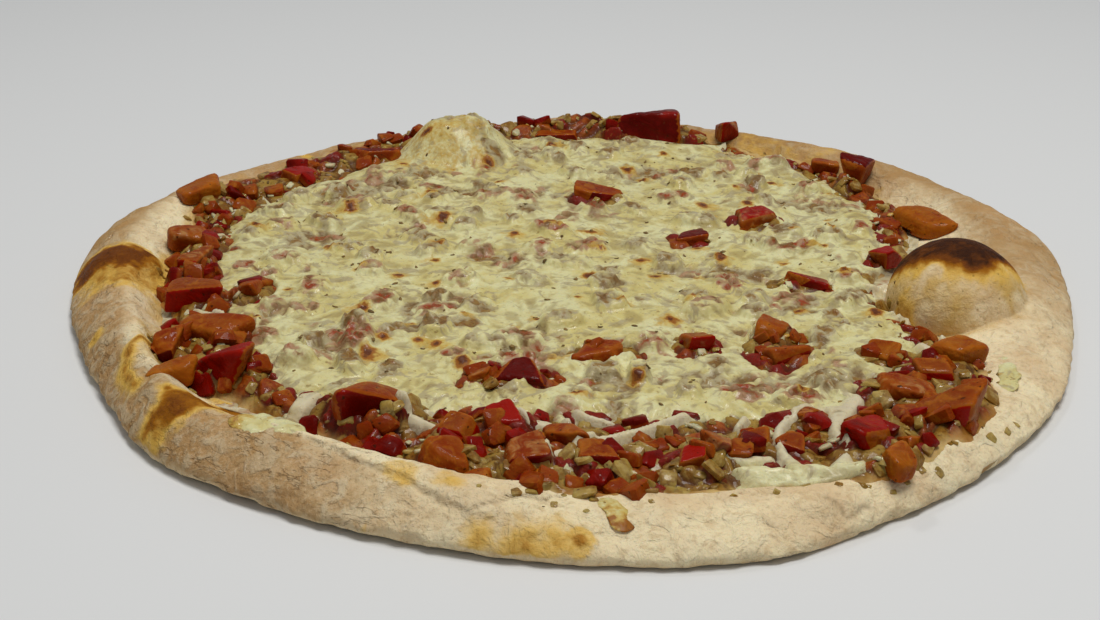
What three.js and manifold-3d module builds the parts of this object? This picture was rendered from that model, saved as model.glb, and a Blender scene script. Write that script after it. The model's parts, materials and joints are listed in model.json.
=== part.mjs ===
// A baked cheese pizza, about 300 mm across: a stone-baked dough base with a low, uneven rim and
// blown bubbles, a chunky tomato and onion sauce, a melted mozzarella sheet with openings in it,
// and diced tomato lying in the openings and round the edge.
//
// Millimetres, +Z up. The origin is the middle of the flat underside. -Y is the front of the
// pizza and +X its right, where the large charred bubble stands. Angles run counterclockwise
// from +X. Each layer is a height over the plan, and all layers share one grid of rings and
// spokes, so a layer's underside lies parallel to the layer below it.

import * as THREE from "three";
import { mergeVertices } from "three/addons/utils/BufferGeometryUtils.js";
import Module from "manifold-3d";

const wasm = await Module();
wasm.setup();

// ---- Driving dimensions -----------------------------------------------------------------------

const GAP = 0.35; // free space kept between two pieces that rest on each other
const FLOOR = 4.5; // thickness of the dough under the toppings
const TIP = 2.6; // thickness of the rim's outer tip
const FILL = 7.6; // level of the sauce where it lies on the flat dough
const SAUCE_EDGE = 0.5; // thickness of the sauce at its outline
const SAUCE_SKIN = 1.0; // thickness of the sauce where it climbs the rim
const CHEESE_EDGE = 1.1; // thickness of the cheese at its outline
const CHEESE = 2.3; // thickness of the cheese sheet
const UNDER_CURL = 22; // width of the band in which the underside curls up off the table

// Values round the pizza, one every 15 degrees from +X.
const EDGE_RADIUS = [
  150, 157.5, 158, 157.5, 157.5, 157.5, 157, 156, 156, 157, 158.5, 157.5,
  151, 145.5, 144.5, 149.5, 149.5, 152, 156, 159.5, 154, 150.5, 148.5, 146.5,
];
const CREST_HEIGHT = [
  11, 11.5, 10.5, 11.5, 11, 12, 13, 11.5, 10.5, 10, 11.5, 13.5,
  14, 14, 14, 13.5, 12.5, 11.5, 10, 9.5, 9, 9, 10, 10.5,
];
const CREST_INSET = [
  20, 19, 17, 14, 12, 11, 11, 11, 12, 13, 14, 16,
  16, 15, 12, 12, 16, 18, 18, 19, 9, 11, 17, 20,
];
const TOE_INSET = [
  41, 42.5, 35, 29.5, 26.5, 24.5, 25, 25, 28, 32, 34.5, 35.5,
  32, 26.5, 19.5, 27.5, 31.5, 26, 24, 26, 16, 20, 31, 39.5,
];
const EDGE_LIFT = [
  1, 1.5, 1.5, 1.5, 1.5, 1, 1, 1, 1, 1.5, 1.5, 1.5,
  1.2, 1, 1, 1.2, 1.2, 1, 0.6, 0.5, 0.5, 1.2, 1.2, 1,
];
const SAUCE_RADIUS = [
  92, 110, 127, 133, 139, 142, 142, 142, 140, 136, 138, 129,
  123, 120, 130, 119, 117, 128, 134, 134, 143, 142, 125, 96,
];
const CHEESE_RADIUS = [
  89, 102, 112, 124, 132, 137, 136, 138, 129, 121, 119, 115,
  109, 102, 103, 109, 104, 97, 95, 100, 108, 110, 106, 92,
];

// The mound that the cheese covers at the back left, blown in the dough under it.
const MOUND = { x: -40, y: 116, across: 27, along: 24, turn: 0, height: 13.5 };

// Open bubbles blown in the dough: place, half sizes in plan, level of the middle, half height
// and turn in degrees.
const BUBBLES = [
  { x: 112, y: -17, across: 20, along: 22, level: 7, height: 19.5, turn: 10, detail: 2 },
  { x: -136, y: 5, across: 12, along: 14, level: 6, height: 9.5, turn: 0, detail: 1 },
  { x: -6, y: -145, across: 17, along: 8, level: 4, height: 6.5, turn: 4, detail: 1 },
  { x: 58, y: -135, across: 15, along: 7, level: 3.5, height: 7, turn: 26, detail: 1 },
  { x: 129, y: 60, across: 18, along: 9, level: 6, height: 7, turn: 115, detail: 1 },
];

// Openings in the cheese, where sauce and tomato show.
const OPENINGS = [
  { x: -17, y: -74, across: 15, along: 7, turn: 4 },
  { x: 8, y: -59, across: 10, along: 7, turn: 0 },
  { x: 33, y: -54, across: 7, along: 8, turn: 0 },
  { x: 56, y: -56, across: 10, along: 15, turn: -25 },
  { x: 83, y: -60, across: 8, along: 6, turn: -20 },
  { x: 9, y: 67, across: 11, along: 7, turn: 0 },
  { x: 59, y: 43, across: 9, along: 8, turn: 15 },
  { x: 37, y: 27, across: 7, along: 6, turn: 0 },
  { x: 69, y: -9, across: 10, along: 5, turn: -5 },
  { x: -94, y: -16, across: 7, along: 8, turn: -12 },
];

// Strands of melted cheese that run out past its edge, over the sauce and between the dice.
const STRANDS = [
  { line: [[34, -90, 9.8], [28, -105, 12.6], [10, -115, 16.8], [-6, -127, 13]], width: 5, height: 2 },
  { line: [[68, -90, 9.8], [62, -106, 10], [60, -122, 10], [56, -132, 11]], width: 9, height: 2 },
  { line: [[-64, -74, 9.6], [-71, -82, 10], [-76, -90, 10.4]], width: 9, height: 2 },
];

// Diced tomato: place, length, width, height, turn in degrees, and whether skin or flesh shows.
const TOMATOES = [
  [-52, -95, 19, 14, 11, 18, "skin"], [-32, -122, 12, 10, 9, 10, "flesh"],
  [-29, -108, 9, 8, 7, -15, "skin"], [-18, -102, 10, 9, 7, 20, "skin"],
  [-13, -122, 12, 10, 8, 25, "skin"], [-23, -129, 10, 6, 5, -5, "flesh"],
  [-2, -110, 12, 8, 6, -8, "flesh"], [5, -122, 12, 9, 7, -5, "skin"],
  [-8, -130, 7, 5, 4, 0, "flesh"], [27, -123, 7, 7, 6, 0, "skin"],
  [34, -117, 7, 7, 7, -4, "skin"], [43, -113, 8, 7, 5, 8, "flesh"],
  [52, -114, 7, 6, 5, -10, "skin"], [72, -110, 17, 10, 8, 62, "skin"],
  [76, -125, 11, 8, 7, 112, "flesh"], [85, -85, 16, 11, 7, -10, "flesh"],
  [91, -100, 18, 8, 8, -10, "skin"], [102, -63, 13, 11, 9, 32, "flesh"],
  [94, -74, 11, 7, 6, 8, "skin"], [58, -98, 7, 6, 5, 30, "flesh"],
  [-16, -76, 12, 8, 7, 10, "skin"], [-26, -76, 6, 6, 5, 0, "flesh"],
  [8, -60, 14, 9, 6, -5, "flesh"], [33, -54, 8, 9, 6, 10, "skin"],
  [54, -47, 11, 8, 7, 62, "flesh"], [57, -62, 14, 8, 6, 22, "skin"],
  [83, -60, 10, 7, 5, -25, "flesh"], [69, -9, 14, 6, 5, -4, "skin"],
  [97, 12, 8, 7, 6, 20, "skin"], [37, 27, 10, 8, 5, 10, "skin"],
  [59, 43, 13, 10, 7, 15, "skin"], [9, 67, 15, 9, 6, -4, "skin"],
  [30, 134, 25, 10, 11, -8, "skin"], [58, 131, 9, 8, 6, 20, "skin"],
  [99, 88, 17, 8, 14, 76, "skin"], [90, 101, 11, 8, 5, -20, "flesh"],
  [115, 46, 20, 12, 7, 104, "flesh"], [-123, 64, 17, 10, 6, 30, "flesh"],
  [-120, 27, 14, 10, 7, 15, "flesh"], [-115, 5, 12, 7, 7, 78, "skin"],
  [-111, -20, 14, 12, 8, 8, "skin"], [-100, -47, 17, 12, 8, -32, "flesh"],
  [-94, -15, 8, 8, 6, 0, "flesh"], [-111, -59, 7, 7, 7, 10, "skin"],
  [-105, -77, 11, 8, 6, -8, "flesh"], [-95, -70, 16, 8, 8, -14, "skin"],
  [-71, 110, 23, 9, 6, 12, "skin"], [-93, 89, 13, 8, 5, 42, "skin"],
  [0, 136, 26, 6, 4, 2, "skin"],
];

// Cheese scraps baked onto the bare rim, as lines in plan with a width and a height.
const SCRAPS = [
  { name: "cheese_scrap_front_left", line: [[-81, -105], [-75, -107], [-69, -108]], width: 8, height: 2.2 },
  { name: "cheese_strip_front", line: [[4, -134], [7, -142], [11, -150]], width: 5.5, height: 2.6 },
  { name: "cheese_strip_right", line: [[116, -60], [115, -70], [112, -81]], width: 5.5, height: 2.6 },
];

const ONION_BITS = 20; // onion pieces fused to the sauce
const SPOKES = 72; // vertices in each full ring of the shared grid

// ---- Helpers ----------------------------------------------------------------------------------

const TURN = 2 * Math.PI;
const radians = (degrees) => (degrees * Math.PI) / 180;
const clamp = (t) => Math.min(1, Math.max(0, t));
const smooth = (t) => clamp(t) ** 2 * (3 - 2 * clamp(t));

// A smooth closed curve through values spaced evenly round the circle.
function around(values) {
  const n = values.length;
  return (angle) => {
    const place = ((((angle / TURN) % 1) + 1) % 1) * n;
    const i = Math.floor(place);
    const t = place - i;
    const [a, b, c, d] = [-1, 0, 1, 2].map((k) => values[(i + k + n) % n]);
    const bend = 2 * a - 5 * b + 4 * c - d + t * (3 * (b - c) + d - a);
    return b + (t / 2) * (c - a + t * bend);
  };
}

// A repeatable number from 0 to 1 for a point of a square lattice.
function lattice(i, j, seed) {
  let h = Math.imul(i, 374761393) + Math.imul(j, 668265263) + Math.imul(seed, 974634777);
  h = Math.imul(h ^ (h >>> 13), 1274126177);
  return ((h ^ (h >>> 16)) >>> 0) / 4294967295;
}

// Smooth lumps from -1 to 1, about size apart.
function lumps(x, y, size, seed) {
  const [i, j] = [Math.floor(x / size), Math.floor(y / size)];
  const [u, v] = [smooth(x / size - i), smooth(y / size - j)];
  const low = lattice(i, j, seed) * (1 - u) + lattice(i + 1, j, seed) * u;
  const high = lattice(i, j + 1, seed) * (1 - u) + lattice(i + 1, j + 1, seed) * u;
  return 2 * (low * (1 - v) + high * v) - 1;
}

// How far a point lies from the middle of an ellipse, where 1 is its outline.
function within(x, y, oval) {
  const [c, s] = [Math.cos(radians(oval.turn)), Math.sin(radians(oval.turn))];
  const [dx, dy] = [x - oval.x, y - oval.y];
  return Math.hypot((dx * c + dy * s) / oval.across, (dy * c - dx * s) / oval.along);
}

// ---- The layers as heights over the plan ------------------------------------------------------

const edgeRadius = around(EDGE_RADIUS);
const crestHeight = around(CREST_HEIGHT);
const crestInset = around(CREST_INSET);
const toeInset = around(TOE_INSET);
const edgeLift = around(EDGE_LIFT);
const sauceRadius = around(SAUCE_RADIUS);
const cheeseMean = around(CHEESE_RADIUS);
const cheeseRadius = (angle) =>
  Math.min(cheeseMean(angle) + 2.5 * lumps(angle * 16, 0, 1, 6), sauceRadius(angle) - 2);

function doughUnder(x, y) {
  const angle = Math.atan2(y, x);
  const inset = edgeRadius(angle) - Math.hypot(x, y);
  const lifted = edgeLift(angle) * (1 - clamp(inset / UNDER_CURL)) ** 2;
  return inset < 0.01 ? lifted + TIP / 2 : lifted;
}

function doughTop(x, y) {
  const angle = Math.atan2(y, x);
  const inset = edgeRadius(angle) - Math.hypot(x, y);
  const [crest, crestIn] = [crestHeight(angle), crestInset(angle)];
  const tip = edgeLift(angle) + TIP;
  const rise = 1 - (1 - clamp(inset / crestIn)) ** 2;
  const fall = smooth((inset - crestIn) / (toeInset(angle) - crestIn));
  const rough = 0.9 * lumps(x, y, 24, 1) + 0.4 * lumps(x, y, 9, 2);
  const mound = MOUND.height * smooth(1.25 * (1 - within(x, y, MOUND)));
  const rim = tip + (crest - tip) * rise + (FLOOR - crest) * fall;
  return rim + rough * (1 - fall) * clamp(inset / 5) + mound * (0.4 + 0.6 * fall);
}

function sauceTop(x, y) {
  const inside = sauceRadius(Math.atan2(y, x)) - Math.hypot(x, y);
  const skin = SAUCE_EDGE + (SAUCE_SKIN - SAUCE_EDGE) * clamp(inside / 3);
  const lumpy = 0.5 * lumps(x, y, 11, 3) * (1 - smooth((inside - 30) / 10));
  return Math.max(FILL + lumpy, doughTop(x, y) + GAP + skin);
}

function cheeseTop(x, y) {
  const inside = cheeseRadius(Math.atan2(y, x)) - Math.hypot(x, y);
  const uneven = 0.8 * lumps(x, y, 16, 4) + 0.5 * lumps(x, y, 8, 5);
  const thick = CHEESE_EDGE + (CHEESE - CHEESE_EDGE + uneven) * smooth(inside / 9);
  return sauceTop(x, y) + GAP + thick;
}

const inOpening = (x, y, share = 1) => OPENINGS.some((oval) => within(x, y, oval) < share);

// The top of whatever lies at a place in plan.
function surface(x, y) {
  const [angle, radius] = [Math.atan2(y, x), Math.hypot(x, y)];
  if (radius < cheeseRadius(angle) && !inOpening(x, y)) return cheeseTop(x, y);
  return radius < sauceRadius(angle) ? sauceTop(x, y) : doughTop(x, y);
}

// The highest surface within a short reach of a place.
const surfaceNear = (x, y) =>
  Math.max(...[[0, 0], [1, 1], [1, -1], [-1, 1], [-1, -1]].map(([i, j]) => surface(x + i, y + j)));

// ---- Solids -----------------------------------------------------------------------------------

// A three.js geometry as a solid that can be joined and cut.
function solid(geometry) {
  const plain = geometry.clone();
  for (const name of Object.keys(plain.attributes))
    if (name !== "position") plain.deleteAttribute(name);
  const merged = mergeVertices(plain, 1e-4);
  return new wasm.Manifold(
    new wasm.Mesh({
      numProp: 3,
      vertProperties: merged.attributes.position.array,
      triVerts: new Uint32Array(merged.index.array),
    }),
  );
}

// The solid as a geometry, without the loose scraps that a cut can leave.
function geometryOf(made) {
  const largest = made.decompose().reduce((a, b) => (b.volume() > a.volume() ? b : a));
  const mesh = largest.getMesh();
  return new THREE.BufferGeometry()
    .setAttribute("position", new THREE.BufferAttribute(mesh.vertProperties, 3))
    .setIndex(new THREE.BufferAttribute(mesh.triVerts, 1));
}

// A closed skin over loops of points, one within the other, that starts and ends at a point.
// Neighbouring loops may have different numbers of points.
function skin(first, loops, last) {
  const points = [first, ...loops.flat(), last];
  const faces = [];
  let start = 1;
  loops.forEach((loop, k) => {
    const next = loops[k + 1];
    if (k === 0) loop.forEach((_, i) => faces.push(0, start + i, start + ((i + 1) % loop.length)));
    if (!next) {
      const end = points.length - 1;
      loop.forEach((_, i) => faces.push(end, start + ((i + 1) % loop.length), start + i));
      return;
    }
    const [n, m, other] = [loop.length, next.length, start + loop.length];
    const inward = Math.hypot(...next[0].slice(0, 2)) < Math.hypot(...loop[0].slice(0, 2));
    for (let i = 0, j = 0; i < n || j < m; ) {
      const [a, b] = [start + (i % n), other + (j % m)];
      const lead = (j + 1) / m - (i + 1) / n + (inward ? -1e-9 : 1e-9);
      if (j >= m || (i < n && lead > 0)) {
        i++;
        faces.push(a, b, start + (i % n));
      } else {
        j++;
        faces.push(a, b, other + (j % m));
      }
    }
    start = other;
  });
  return new THREE.BufferGeometry()
    .setAttribute("position", new THREE.Float32BufferAttribute(points.flat(), 3))
    .setIndex(faces);
}

// A ring of the plan grid, given by its radius at each angle, set at a height.
const ring = (radiusAt, height, count = SPOKES) =>
  Array.from({ length: count }, (_, k) => {
    const angle = (k / count) * TURN;
    const [x, y] = [radiusAt(angle) * Math.cos(angle), radiusAt(angle) * Math.sin(angle)];
    return [x, y, height(x, y)];
  });

const between = (outer, inner, share) => (angle) =>
  outer(angle) + (inner(angle) - outer(angle)) * share;

// The radii of the shared grid, from the edge of the dough inwards.
const rimRings = [0.04, 0.13, 0.25, 0.39, 0.54, 0.7, 0.86]
  .map((share) => between(edgeRadius, sauceRadius, share));
const bandRings = [0, 0.33, 0.67].map((share) => between(sauceRadius, cheeseRadius, share));
const innerRings = [0, 6, 14, 24, 36].map((inset) => (angle) => cheeseRadius(angle) - inset);

// An upright prism over an ellipse, with its sides turned a little out as they rise.
function well(oval) {
  const geometry = new THREE.CylinderGeometry(1.05, 0.95, 60, 8).rotateX(Math.PI / 2);
  geometry.scale(oval.across, oval.along, 1);
  return solid(geometry).rotate([0, 0, oval.turn]).translate([oval.x, oval.y, 20]);
}

// A flattened strand along a line of points, rounded off at both ends.
function strand(line, width, height) {
  const path = new THREE.CatmullRomCurve3(line.map((point) => new THREE.Vector3(...point)));
  const loops = [0.06, 0.25, 0.5, 0.75, 0.94].map((share) => {
    const [middle, along] = [path.getPointAt(share), path.getTangentAt(share)];
    const across = new THREE.Vector3(along.y, -along.x, 0).normalize();
    const full = (1 - (2 * share - 1) ** 4) ** 0.5;
    return Array.from({ length: 6 }, (_, k) => {
      const side = (Math.cos((k / 6) * TURN) * full * width) / 2;
      const up = (Math.sin((k / 6) * TURN) * full * height) / 2;
      return [middle.x + across.x * side, middle.y + across.y * side, middle.z + up];
    });
  });
  return solid(skin(line[0], loops, line[line.length - 1]));
}

// A soft-edged dice of cooked food, one unit across before it is sized: a sphere squared off and
// made a little irregular.
function dice(length, width, height, seed) {
  const geometry = new THREE.IcosahedronGeometry(1, seed ? 1 : 0);
  const position = geometry.attributes.position;
  for (let i = 0; i < position.count; i++) {
    const [x, y, z] = [position.getX(i), position.getY(i), position.getZ(i)];
    const square = (x ** 4 + y ** 4 + z ** 4) ** -0.25;
    const uneven = 1 + 0.1 * lumps(x + 9, y + z + 9, 0.8, seed);
    const [taper, tilt] = [0.18 * Math.sin(seed), 0.12 * Math.cos(seed)];
    position.setXYZ(
      i,
      (x * square * uneven * length) / 2,
      (y * square * uneven * (1 - taper * x) * width) / 2,
      (z * square * (uneven + tilt * x) * height) / 2,
    );
  }
  return geometry;
}

// A dice set down at a place, with its lower side shaped to what it lies on.
function bedded([x, y, length, width, height, turn], seed, grow = 0) {
  const geometry = dice(length + grow, width + grow, height, seed).rotateZ(radians(turn));
  const position = geometry.attributes.position;
  const bed = surface(x, y) + 0.42 * height;
  for (let i = 0; i < position.count; i++) {
    const [dx, dy, z] = [position.getX(i), position.getY(i), position.getZ(i)];
    const clear = surfaceNear(x + dx, y + dy) + GAP + 0.35 * (z + height / 2);
    position.setXYZ(i, x + dx, y + dy, Math.max(bed + z + grow, clear - 4 * grow));
  }
  return solid(geometry);
}

// ---- Crust ------------------------------------------------------------------------------------

const bubble = ({ x, y, across, along, level, height, turn, detail }) =>
  solid(new THREE.IcosahedronGeometry(1, detail).scale(across, along, height))
    .rotate([0, 0, turn])
    .translate([x, y, level]);

const base = solid(
  skin(
    [0, 0, FLOOR],
    [
      ...[...rimRings, ...bandRings, ...innerRings].reverse().map((at) => ring(at, doughTop)),
      ring(edgeRadius, doughUnder),
      ...[3, 9, UNDER_CURL].map((inset) =>
        ring((angle) => edgeRadius(angle) - inset, doughUnder, inset > 3 ? 36 : SPOKES),
      ),
    ],
    [0, 0, 0],
  ),
);
const crust = BUBBLES.reduce((made, one) => made.add(bubble(one)), base).trimByPlane([0, 0, 1], 0);

// ---- Sauce with its onion ---------------------------------------------------------------------

const sauceRings = [...bandRings, ...innerRings];
const sauceSheet = solid(
  skin(
    [0, 0, FILL],
    [
      ...[...sauceRings].reverse().map((at) => ring(at, sauceTop)),
      ...sauceRings.map((at) => ring(at, (x, y) => doughTop(x, y) + GAP)),
    ],
    [0, 0, FLOOR + GAP],
  ),
);

function onionPlaces() {
  const places = [];
  let draw = 0;
  const random = (low, high) => low + (high - low) * lattice(draw++, 77, 5);
  while (places.length < ONION_BITS && draw < 20000) {
    const [angle, radius, length, turn] = [
      random(0, TURN), random(60, 140), random(4.5, 7), random(0, 180),
    ];
    const [x, y] = [radius * Math.cos(angle), radius * Math.sin(angle)];
    const open = radius > cheeseRadius(angle) + 4 && radius < sauceRadius(angle) - 4;
    const free = [...places, ...TOMATOES.map(([a, b, size]) => ({ x: a, y: b, size }))];
    const reach = (other) => (length + (other.size ?? 5)) / 2;
    if (open && free.every((other) => Math.hypot(other.x - x, other.y - y) > reach(other)))
      places.push({ x, y, length, turn });
  }
  return places;
}

const sauce = onionPlaces().reduce((made, { x, y, length, turn }) => {
  const bit = solid(dice(length, 0.7 * length, 2.4, 0)).rotate([0, 0, turn]);
  return made.add(bit.translate([x, y, sauceTop(x, y) + 0.2]));
}, sauceSheet);

// ---- Cheese -----------------------------------------------------------------------------------

const core = (share) => (angle) => (cheeseRadius(angle) - 24) * share;
const cheeseSheet = solid(
  skin(
    [0, 0, cheeseTop(0, 0)],
    [
      ...[[0.12, 8], [0.27, 18], [0.42, 24], [0.58, 36], [0.74, 36], [0.88, 48]].map(
        ([share, count]) => ring(core(share), cheeseTop, count),
      ),
      ...[...innerRings].slice(0, 4).reverse().map((at) => ring(at, cheeseTop)),
      ...innerRings.map((at) => ring(at, (x, y) => sauceTop(x, y) + GAP)),
    ],
    [0, 0, FILL + GAP],
  ),
);
const cheese = STRANDS.reduce(
  (made, { line, width, height }) => made.add(strand(line, width, height)),
  OPENINGS.reduce((made, oval) => made.subtract(well(oval)), cheeseSheet),
);

// ---- Tomato and scraps ------------------------------------------------------------------------

// The piece cut clear of a layer that it would run into.
function clearOf(made, layer) {
  const hasClash = made.intersect(layer).volume() > 0;
  return hasClash ? made.subtract(layer.translate([0, 0, GAP])) : made;
}

const pieces = [];
TOMATOES.forEach((tomato, k) => {
  const [x, y, length] = tomato;
  const near = TOMATOES.slice(0, k)
    .map((other, seed) => ({ other, seed: seed + 1 }))
    .filter(({ other }) => Math.hypot(other[0] - x, other[1] - y) < (length + other[2]) / 2);
  const made = near.reduce(
    (whole, { other, seed }) => whole.subtract(bedded(other, seed, 2 * GAP)),
    bedded(tomato, k + 1),
  );
  const name = `tomato_${String(k + 1).padStart(2, "0")}`;
  pieces.push({ name, made: [crust, sauce, cheese].reduce(clearOf, made), finish: tomato[6] });
});
for (const { name, line, width, height } of SCRAPS) {
  const laid = line.map(([x, y]) => [x, y, surfaceNear(x, y) + GAP + 0.4 * height]);
  const made = strand(laid, width, height).subtract(crust.translate([0, 0, GAP]));
  pieces.push({ name, made, finish: "cheese" });
}

// ---- The pizza --------------------------------------------------------------------------------

const finishes = {
  crust: { color: 0xcdb893, roughness: 0.85, metalness: 0 },
  sauce: { color: 0x8a4a1c, roughness: 0.35, metalness: 0 },
  cheese: { color: 0xd6cc96, roughness: 0.4, metalness: 0 },
  skin: { color: 0x8e1a0c, roughness: 0.25, metalness: 0 },
  flesh: { color: 0xa84c14, roughness: 0.3, metalness: 0 },
};

const pizza = new THREE.Group();
for (const { name, made, finish } of [
  { name: "crust", made: crust, finish: "crust" },
  { name: "sauce", made: sauce, finish: "sauce" },
  { name: "cheese", made: cheese, finish: "cheese" },
  ...pieces,
]) {
  const mesh = new THREE.Mesh(geometryOf(made), new THREE.MeshStandardMaterial(finishes[finish]));
  mesh.name = name;
  pizza.add(mesh);
}

export default pizza;
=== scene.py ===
"""A baked cheese pizza: floury dough rim, chunky tomato and onion sauce, mozzarella, tomato dice.

Each layer is a height over the plan, in millimetres, with the same named values as the solids, and
gets the fine relief, the browning and the small toppings that the solids leave out. +Z is up, -Y is
the front and +X the right. Angles run counterclockwise from +X.
"""

import json
import math

import bmesh
import bpy
import numpy as np
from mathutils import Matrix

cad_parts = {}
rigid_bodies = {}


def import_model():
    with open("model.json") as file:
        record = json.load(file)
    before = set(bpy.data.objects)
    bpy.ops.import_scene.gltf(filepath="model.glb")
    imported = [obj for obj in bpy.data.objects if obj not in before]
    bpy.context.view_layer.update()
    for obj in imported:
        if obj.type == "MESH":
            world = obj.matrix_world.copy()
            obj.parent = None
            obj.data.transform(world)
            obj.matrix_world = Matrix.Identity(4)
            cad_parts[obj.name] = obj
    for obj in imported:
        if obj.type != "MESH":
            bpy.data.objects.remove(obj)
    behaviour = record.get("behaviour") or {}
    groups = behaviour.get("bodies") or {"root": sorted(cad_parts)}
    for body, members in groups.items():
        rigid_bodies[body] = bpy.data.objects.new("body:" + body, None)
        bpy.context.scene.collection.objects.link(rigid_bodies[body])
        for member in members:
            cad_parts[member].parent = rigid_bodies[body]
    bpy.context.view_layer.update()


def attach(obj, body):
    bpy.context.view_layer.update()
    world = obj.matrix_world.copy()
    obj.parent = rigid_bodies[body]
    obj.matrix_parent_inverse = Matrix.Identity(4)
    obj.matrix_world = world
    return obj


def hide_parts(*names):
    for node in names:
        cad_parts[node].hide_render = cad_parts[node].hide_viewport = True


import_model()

MM = 0.001  # metres in a millimetre
TURN = 2 * math.pi

# ---- Helpers of form --------------------------------------------------------------------------


def between(a, b, c, d, t):
    """The smooth curve through four neighbours, from b where t is 0 to c where it is 1."""
    bend = 2 * a - 5 * b + 4 * c - d + t * (3 * (b - c) + d - a)
    return b + t / 2 * (c - a + t * bend)


def around(values):
    """A smooth closed curve through values spaced evenly round the circle."""
    values = np.array(values, float)
    count = len(values)

    def value_at(angle):
        place = (np.asarray(angle) / TURN % 1) * count
        i = np.floor(place).astype(int)
        return between(*(values[(i + k) % count] for k in (-1, 0, 1, 2)), place - i)

    return value_at


def smooth_line(points, count):
    """A smooth line through points, evenly sampled."""
    points = np.array(points, float)
    ends = np.vstack([2 * points[0] - points[1], points, 2 * points[-1] - points[-2]])
    spot = np.linspace(0, len(points) - 1 - 1e-9, count)
    i = spot.astype(int)
    return between(*(ends[i + k] for k in range(4)), (spot - i)[:, None])


def lattice(i, j, seed):
    """A repeatable number from 0 to 1 for each point of a square lattice."""
    low = np.uint64(0xFFFFFFFF)
    i = np.asarray(i).astype(np.int64).astype(np.uint64) & low
    j = np.asarray(j).astype(np.int64).astype(np.uint64) & low
    mixed = i * np.uint64(374761393) + j * np.uint64(668265263) + np.uint64(seed * 974634777)
    mixed &= low
    mixed = (mixed ^ (mixed >> np.uint64(13))) * np.uint64(1274126177) & low
    return ((mixed ^ (mixed >> np.uint64(16))) & low) / 4294967295


def clamp(t):
    return np.clip(t, 0, 1)


def smooth(t):
    t = clamp(t)
    return t * t * (3 - 2 * t)


def bell(away, width=1.0):
    """1 at no distance, and softly less further away."""
    return np.exp(-((away / width) ** 2))


def rounded(inside, width):
    """0 at an outline and nearly 1 three widths inside it, with a rounded shoulder."""
    return 1 - np.exp(-np.maximum(inside, 0) / width)


def lumps(x, y, size, seed):
    """Smooth lumps from -1 to 1, about size apart."""
    i, j = np.floor(x / size), np.floor(y / size)
    u, v = smooth(x / size - i), smooth(y / size - j)
    low = lattice(i, j, seed) * (1 - u) + lattice(i + 1, j, seed) * u
    high = lattice(i, j + 1, seed) * (1 - u) + lattice(i + 1, j + 1, seed) * u
    return 2 * (low * (1 - v) + high * v) - 1


def rough(x, y, size, seed, octaves=3):
    """Lumps with smaller lumps on them, turned against each other so that no grid shows."""
    total = np.zeros(np.shape(x))
    for k in range(octaves):
        c, s = math.cos(0.7 + 1.9 * k), math.sin(0.7 + 1.9 * k)
        total += lumps(x * c - y * s, x * s + y * c, size / 2**k, seed + 13 * k) / 2**k
    return total / (2 - 0.5 ** (octaves - 1))


def pebbles(x, y, size, seed):
    """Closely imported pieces: 1 on them and 0 in the gaps, and a random number for each piece."""
    sway = [0.25 * size * lumps(x, y, size / 2, seed + k) for k in (5, 6)]
    x, y = x + sway[0], y + sway[1]
    i, j = np.floor(x / size), np.floor(y / size)
    first, second = np.full(np.shape(x), 9.0), np.full(np.shape(x), 9.0)
    number = np.zeros(np.shape(x))
    for step in range(9):
        a, b = i + step // 3 - 1, j + step % 3 - 1
        px, py = a + 0.1 + 0.8 * lattice(a, b, seed), b + 0.1 + 0.8 * lattice(a, b, seed + 1)
        away = np.hypot(x / size - px, y / size - py)
        second = np.minimum(second, np.maximum(away, first))
        number = np.where(away < first, lattice(a, b, seed + 2), number)
        first = np.minimum(first, away)
    return smooth((second - first) / 0.4), number


def seen_from(x, y, cx, cy, turn):
    """Places in plan measured from (cx, cy), along a heading in degrees and across it."""
    c, s = math.cos(math.radians(turn)), math.sin(math.radians(turn))
    dx, dy = x - cx, y - cy
    return dx * c + dy * s, dy * c - dx * s


def set_down(points, cx, cy, heading):
    """The x and y of points that are turned to a heading in radians and moved to (cx, cy)."""
    c, s = math.cos(heading), math.sin(heading)
    px, py = points[:, 0], points[:, 1]
    return cx + px * c - py * s, cy + px * s + py * c


def at(field, x, y):
    """The value of a field at one place in plan."""
    return float(field(np.array(x), np.array(y)))


def within(x, y, oval):
    """How far a point lies from the middle of an oval, where 1 is its outline."""
    ox, oy, across, along, turn = oval
    u, v = seen_from(x, y, ox, oy, turn)
    return np.hypot(u / across, v / along)


def patch(x, y, oval, soft=0.35, ragged=0.0, seed=50):
    """1 inside an oval and 0 outside it, over a soft and ragged edge."""
    reach = within(x, y, oval) + ragged * rough(x, y, 5, seed)
    return smooth((1 + soft / 2 - reach) / soft)


def off_line(x, y, line):
    """Distance from each point to a line of points in plan."""
    nearest = np.full(np.shape(x), np.inf)
    for (ax, ay), (bx, by) in zip(line, line[1:]):
        dx, dy = bx - ax, by - ay
        share = clamp(((x - ax) * dx + (y - ay) * dy) / (dx * dx + dy * dy))
        nearest = np.minimum(nearest, np.hypot(x - ax - share * dx, y - ay - share * dy))
    return nearest


def polar(x, y):
    return np.arctan2(y, x), np.hypot(x, y)


def dice_reach(x, y, dice):
    """How far a point lies from the middle of a dice in plan, where 1 is at its sides."""
    cx, cy, length, width, _, turn = dice[:6]
    u, v = seen_from(x, y, cx, cy, turn)
    return ((u / (length / 2)) ** 4 + (v / (width / 2)) ** 4) ** 0.25


# ---- Sizes of the layers, in millimetres --------------------------------------------------------

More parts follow.
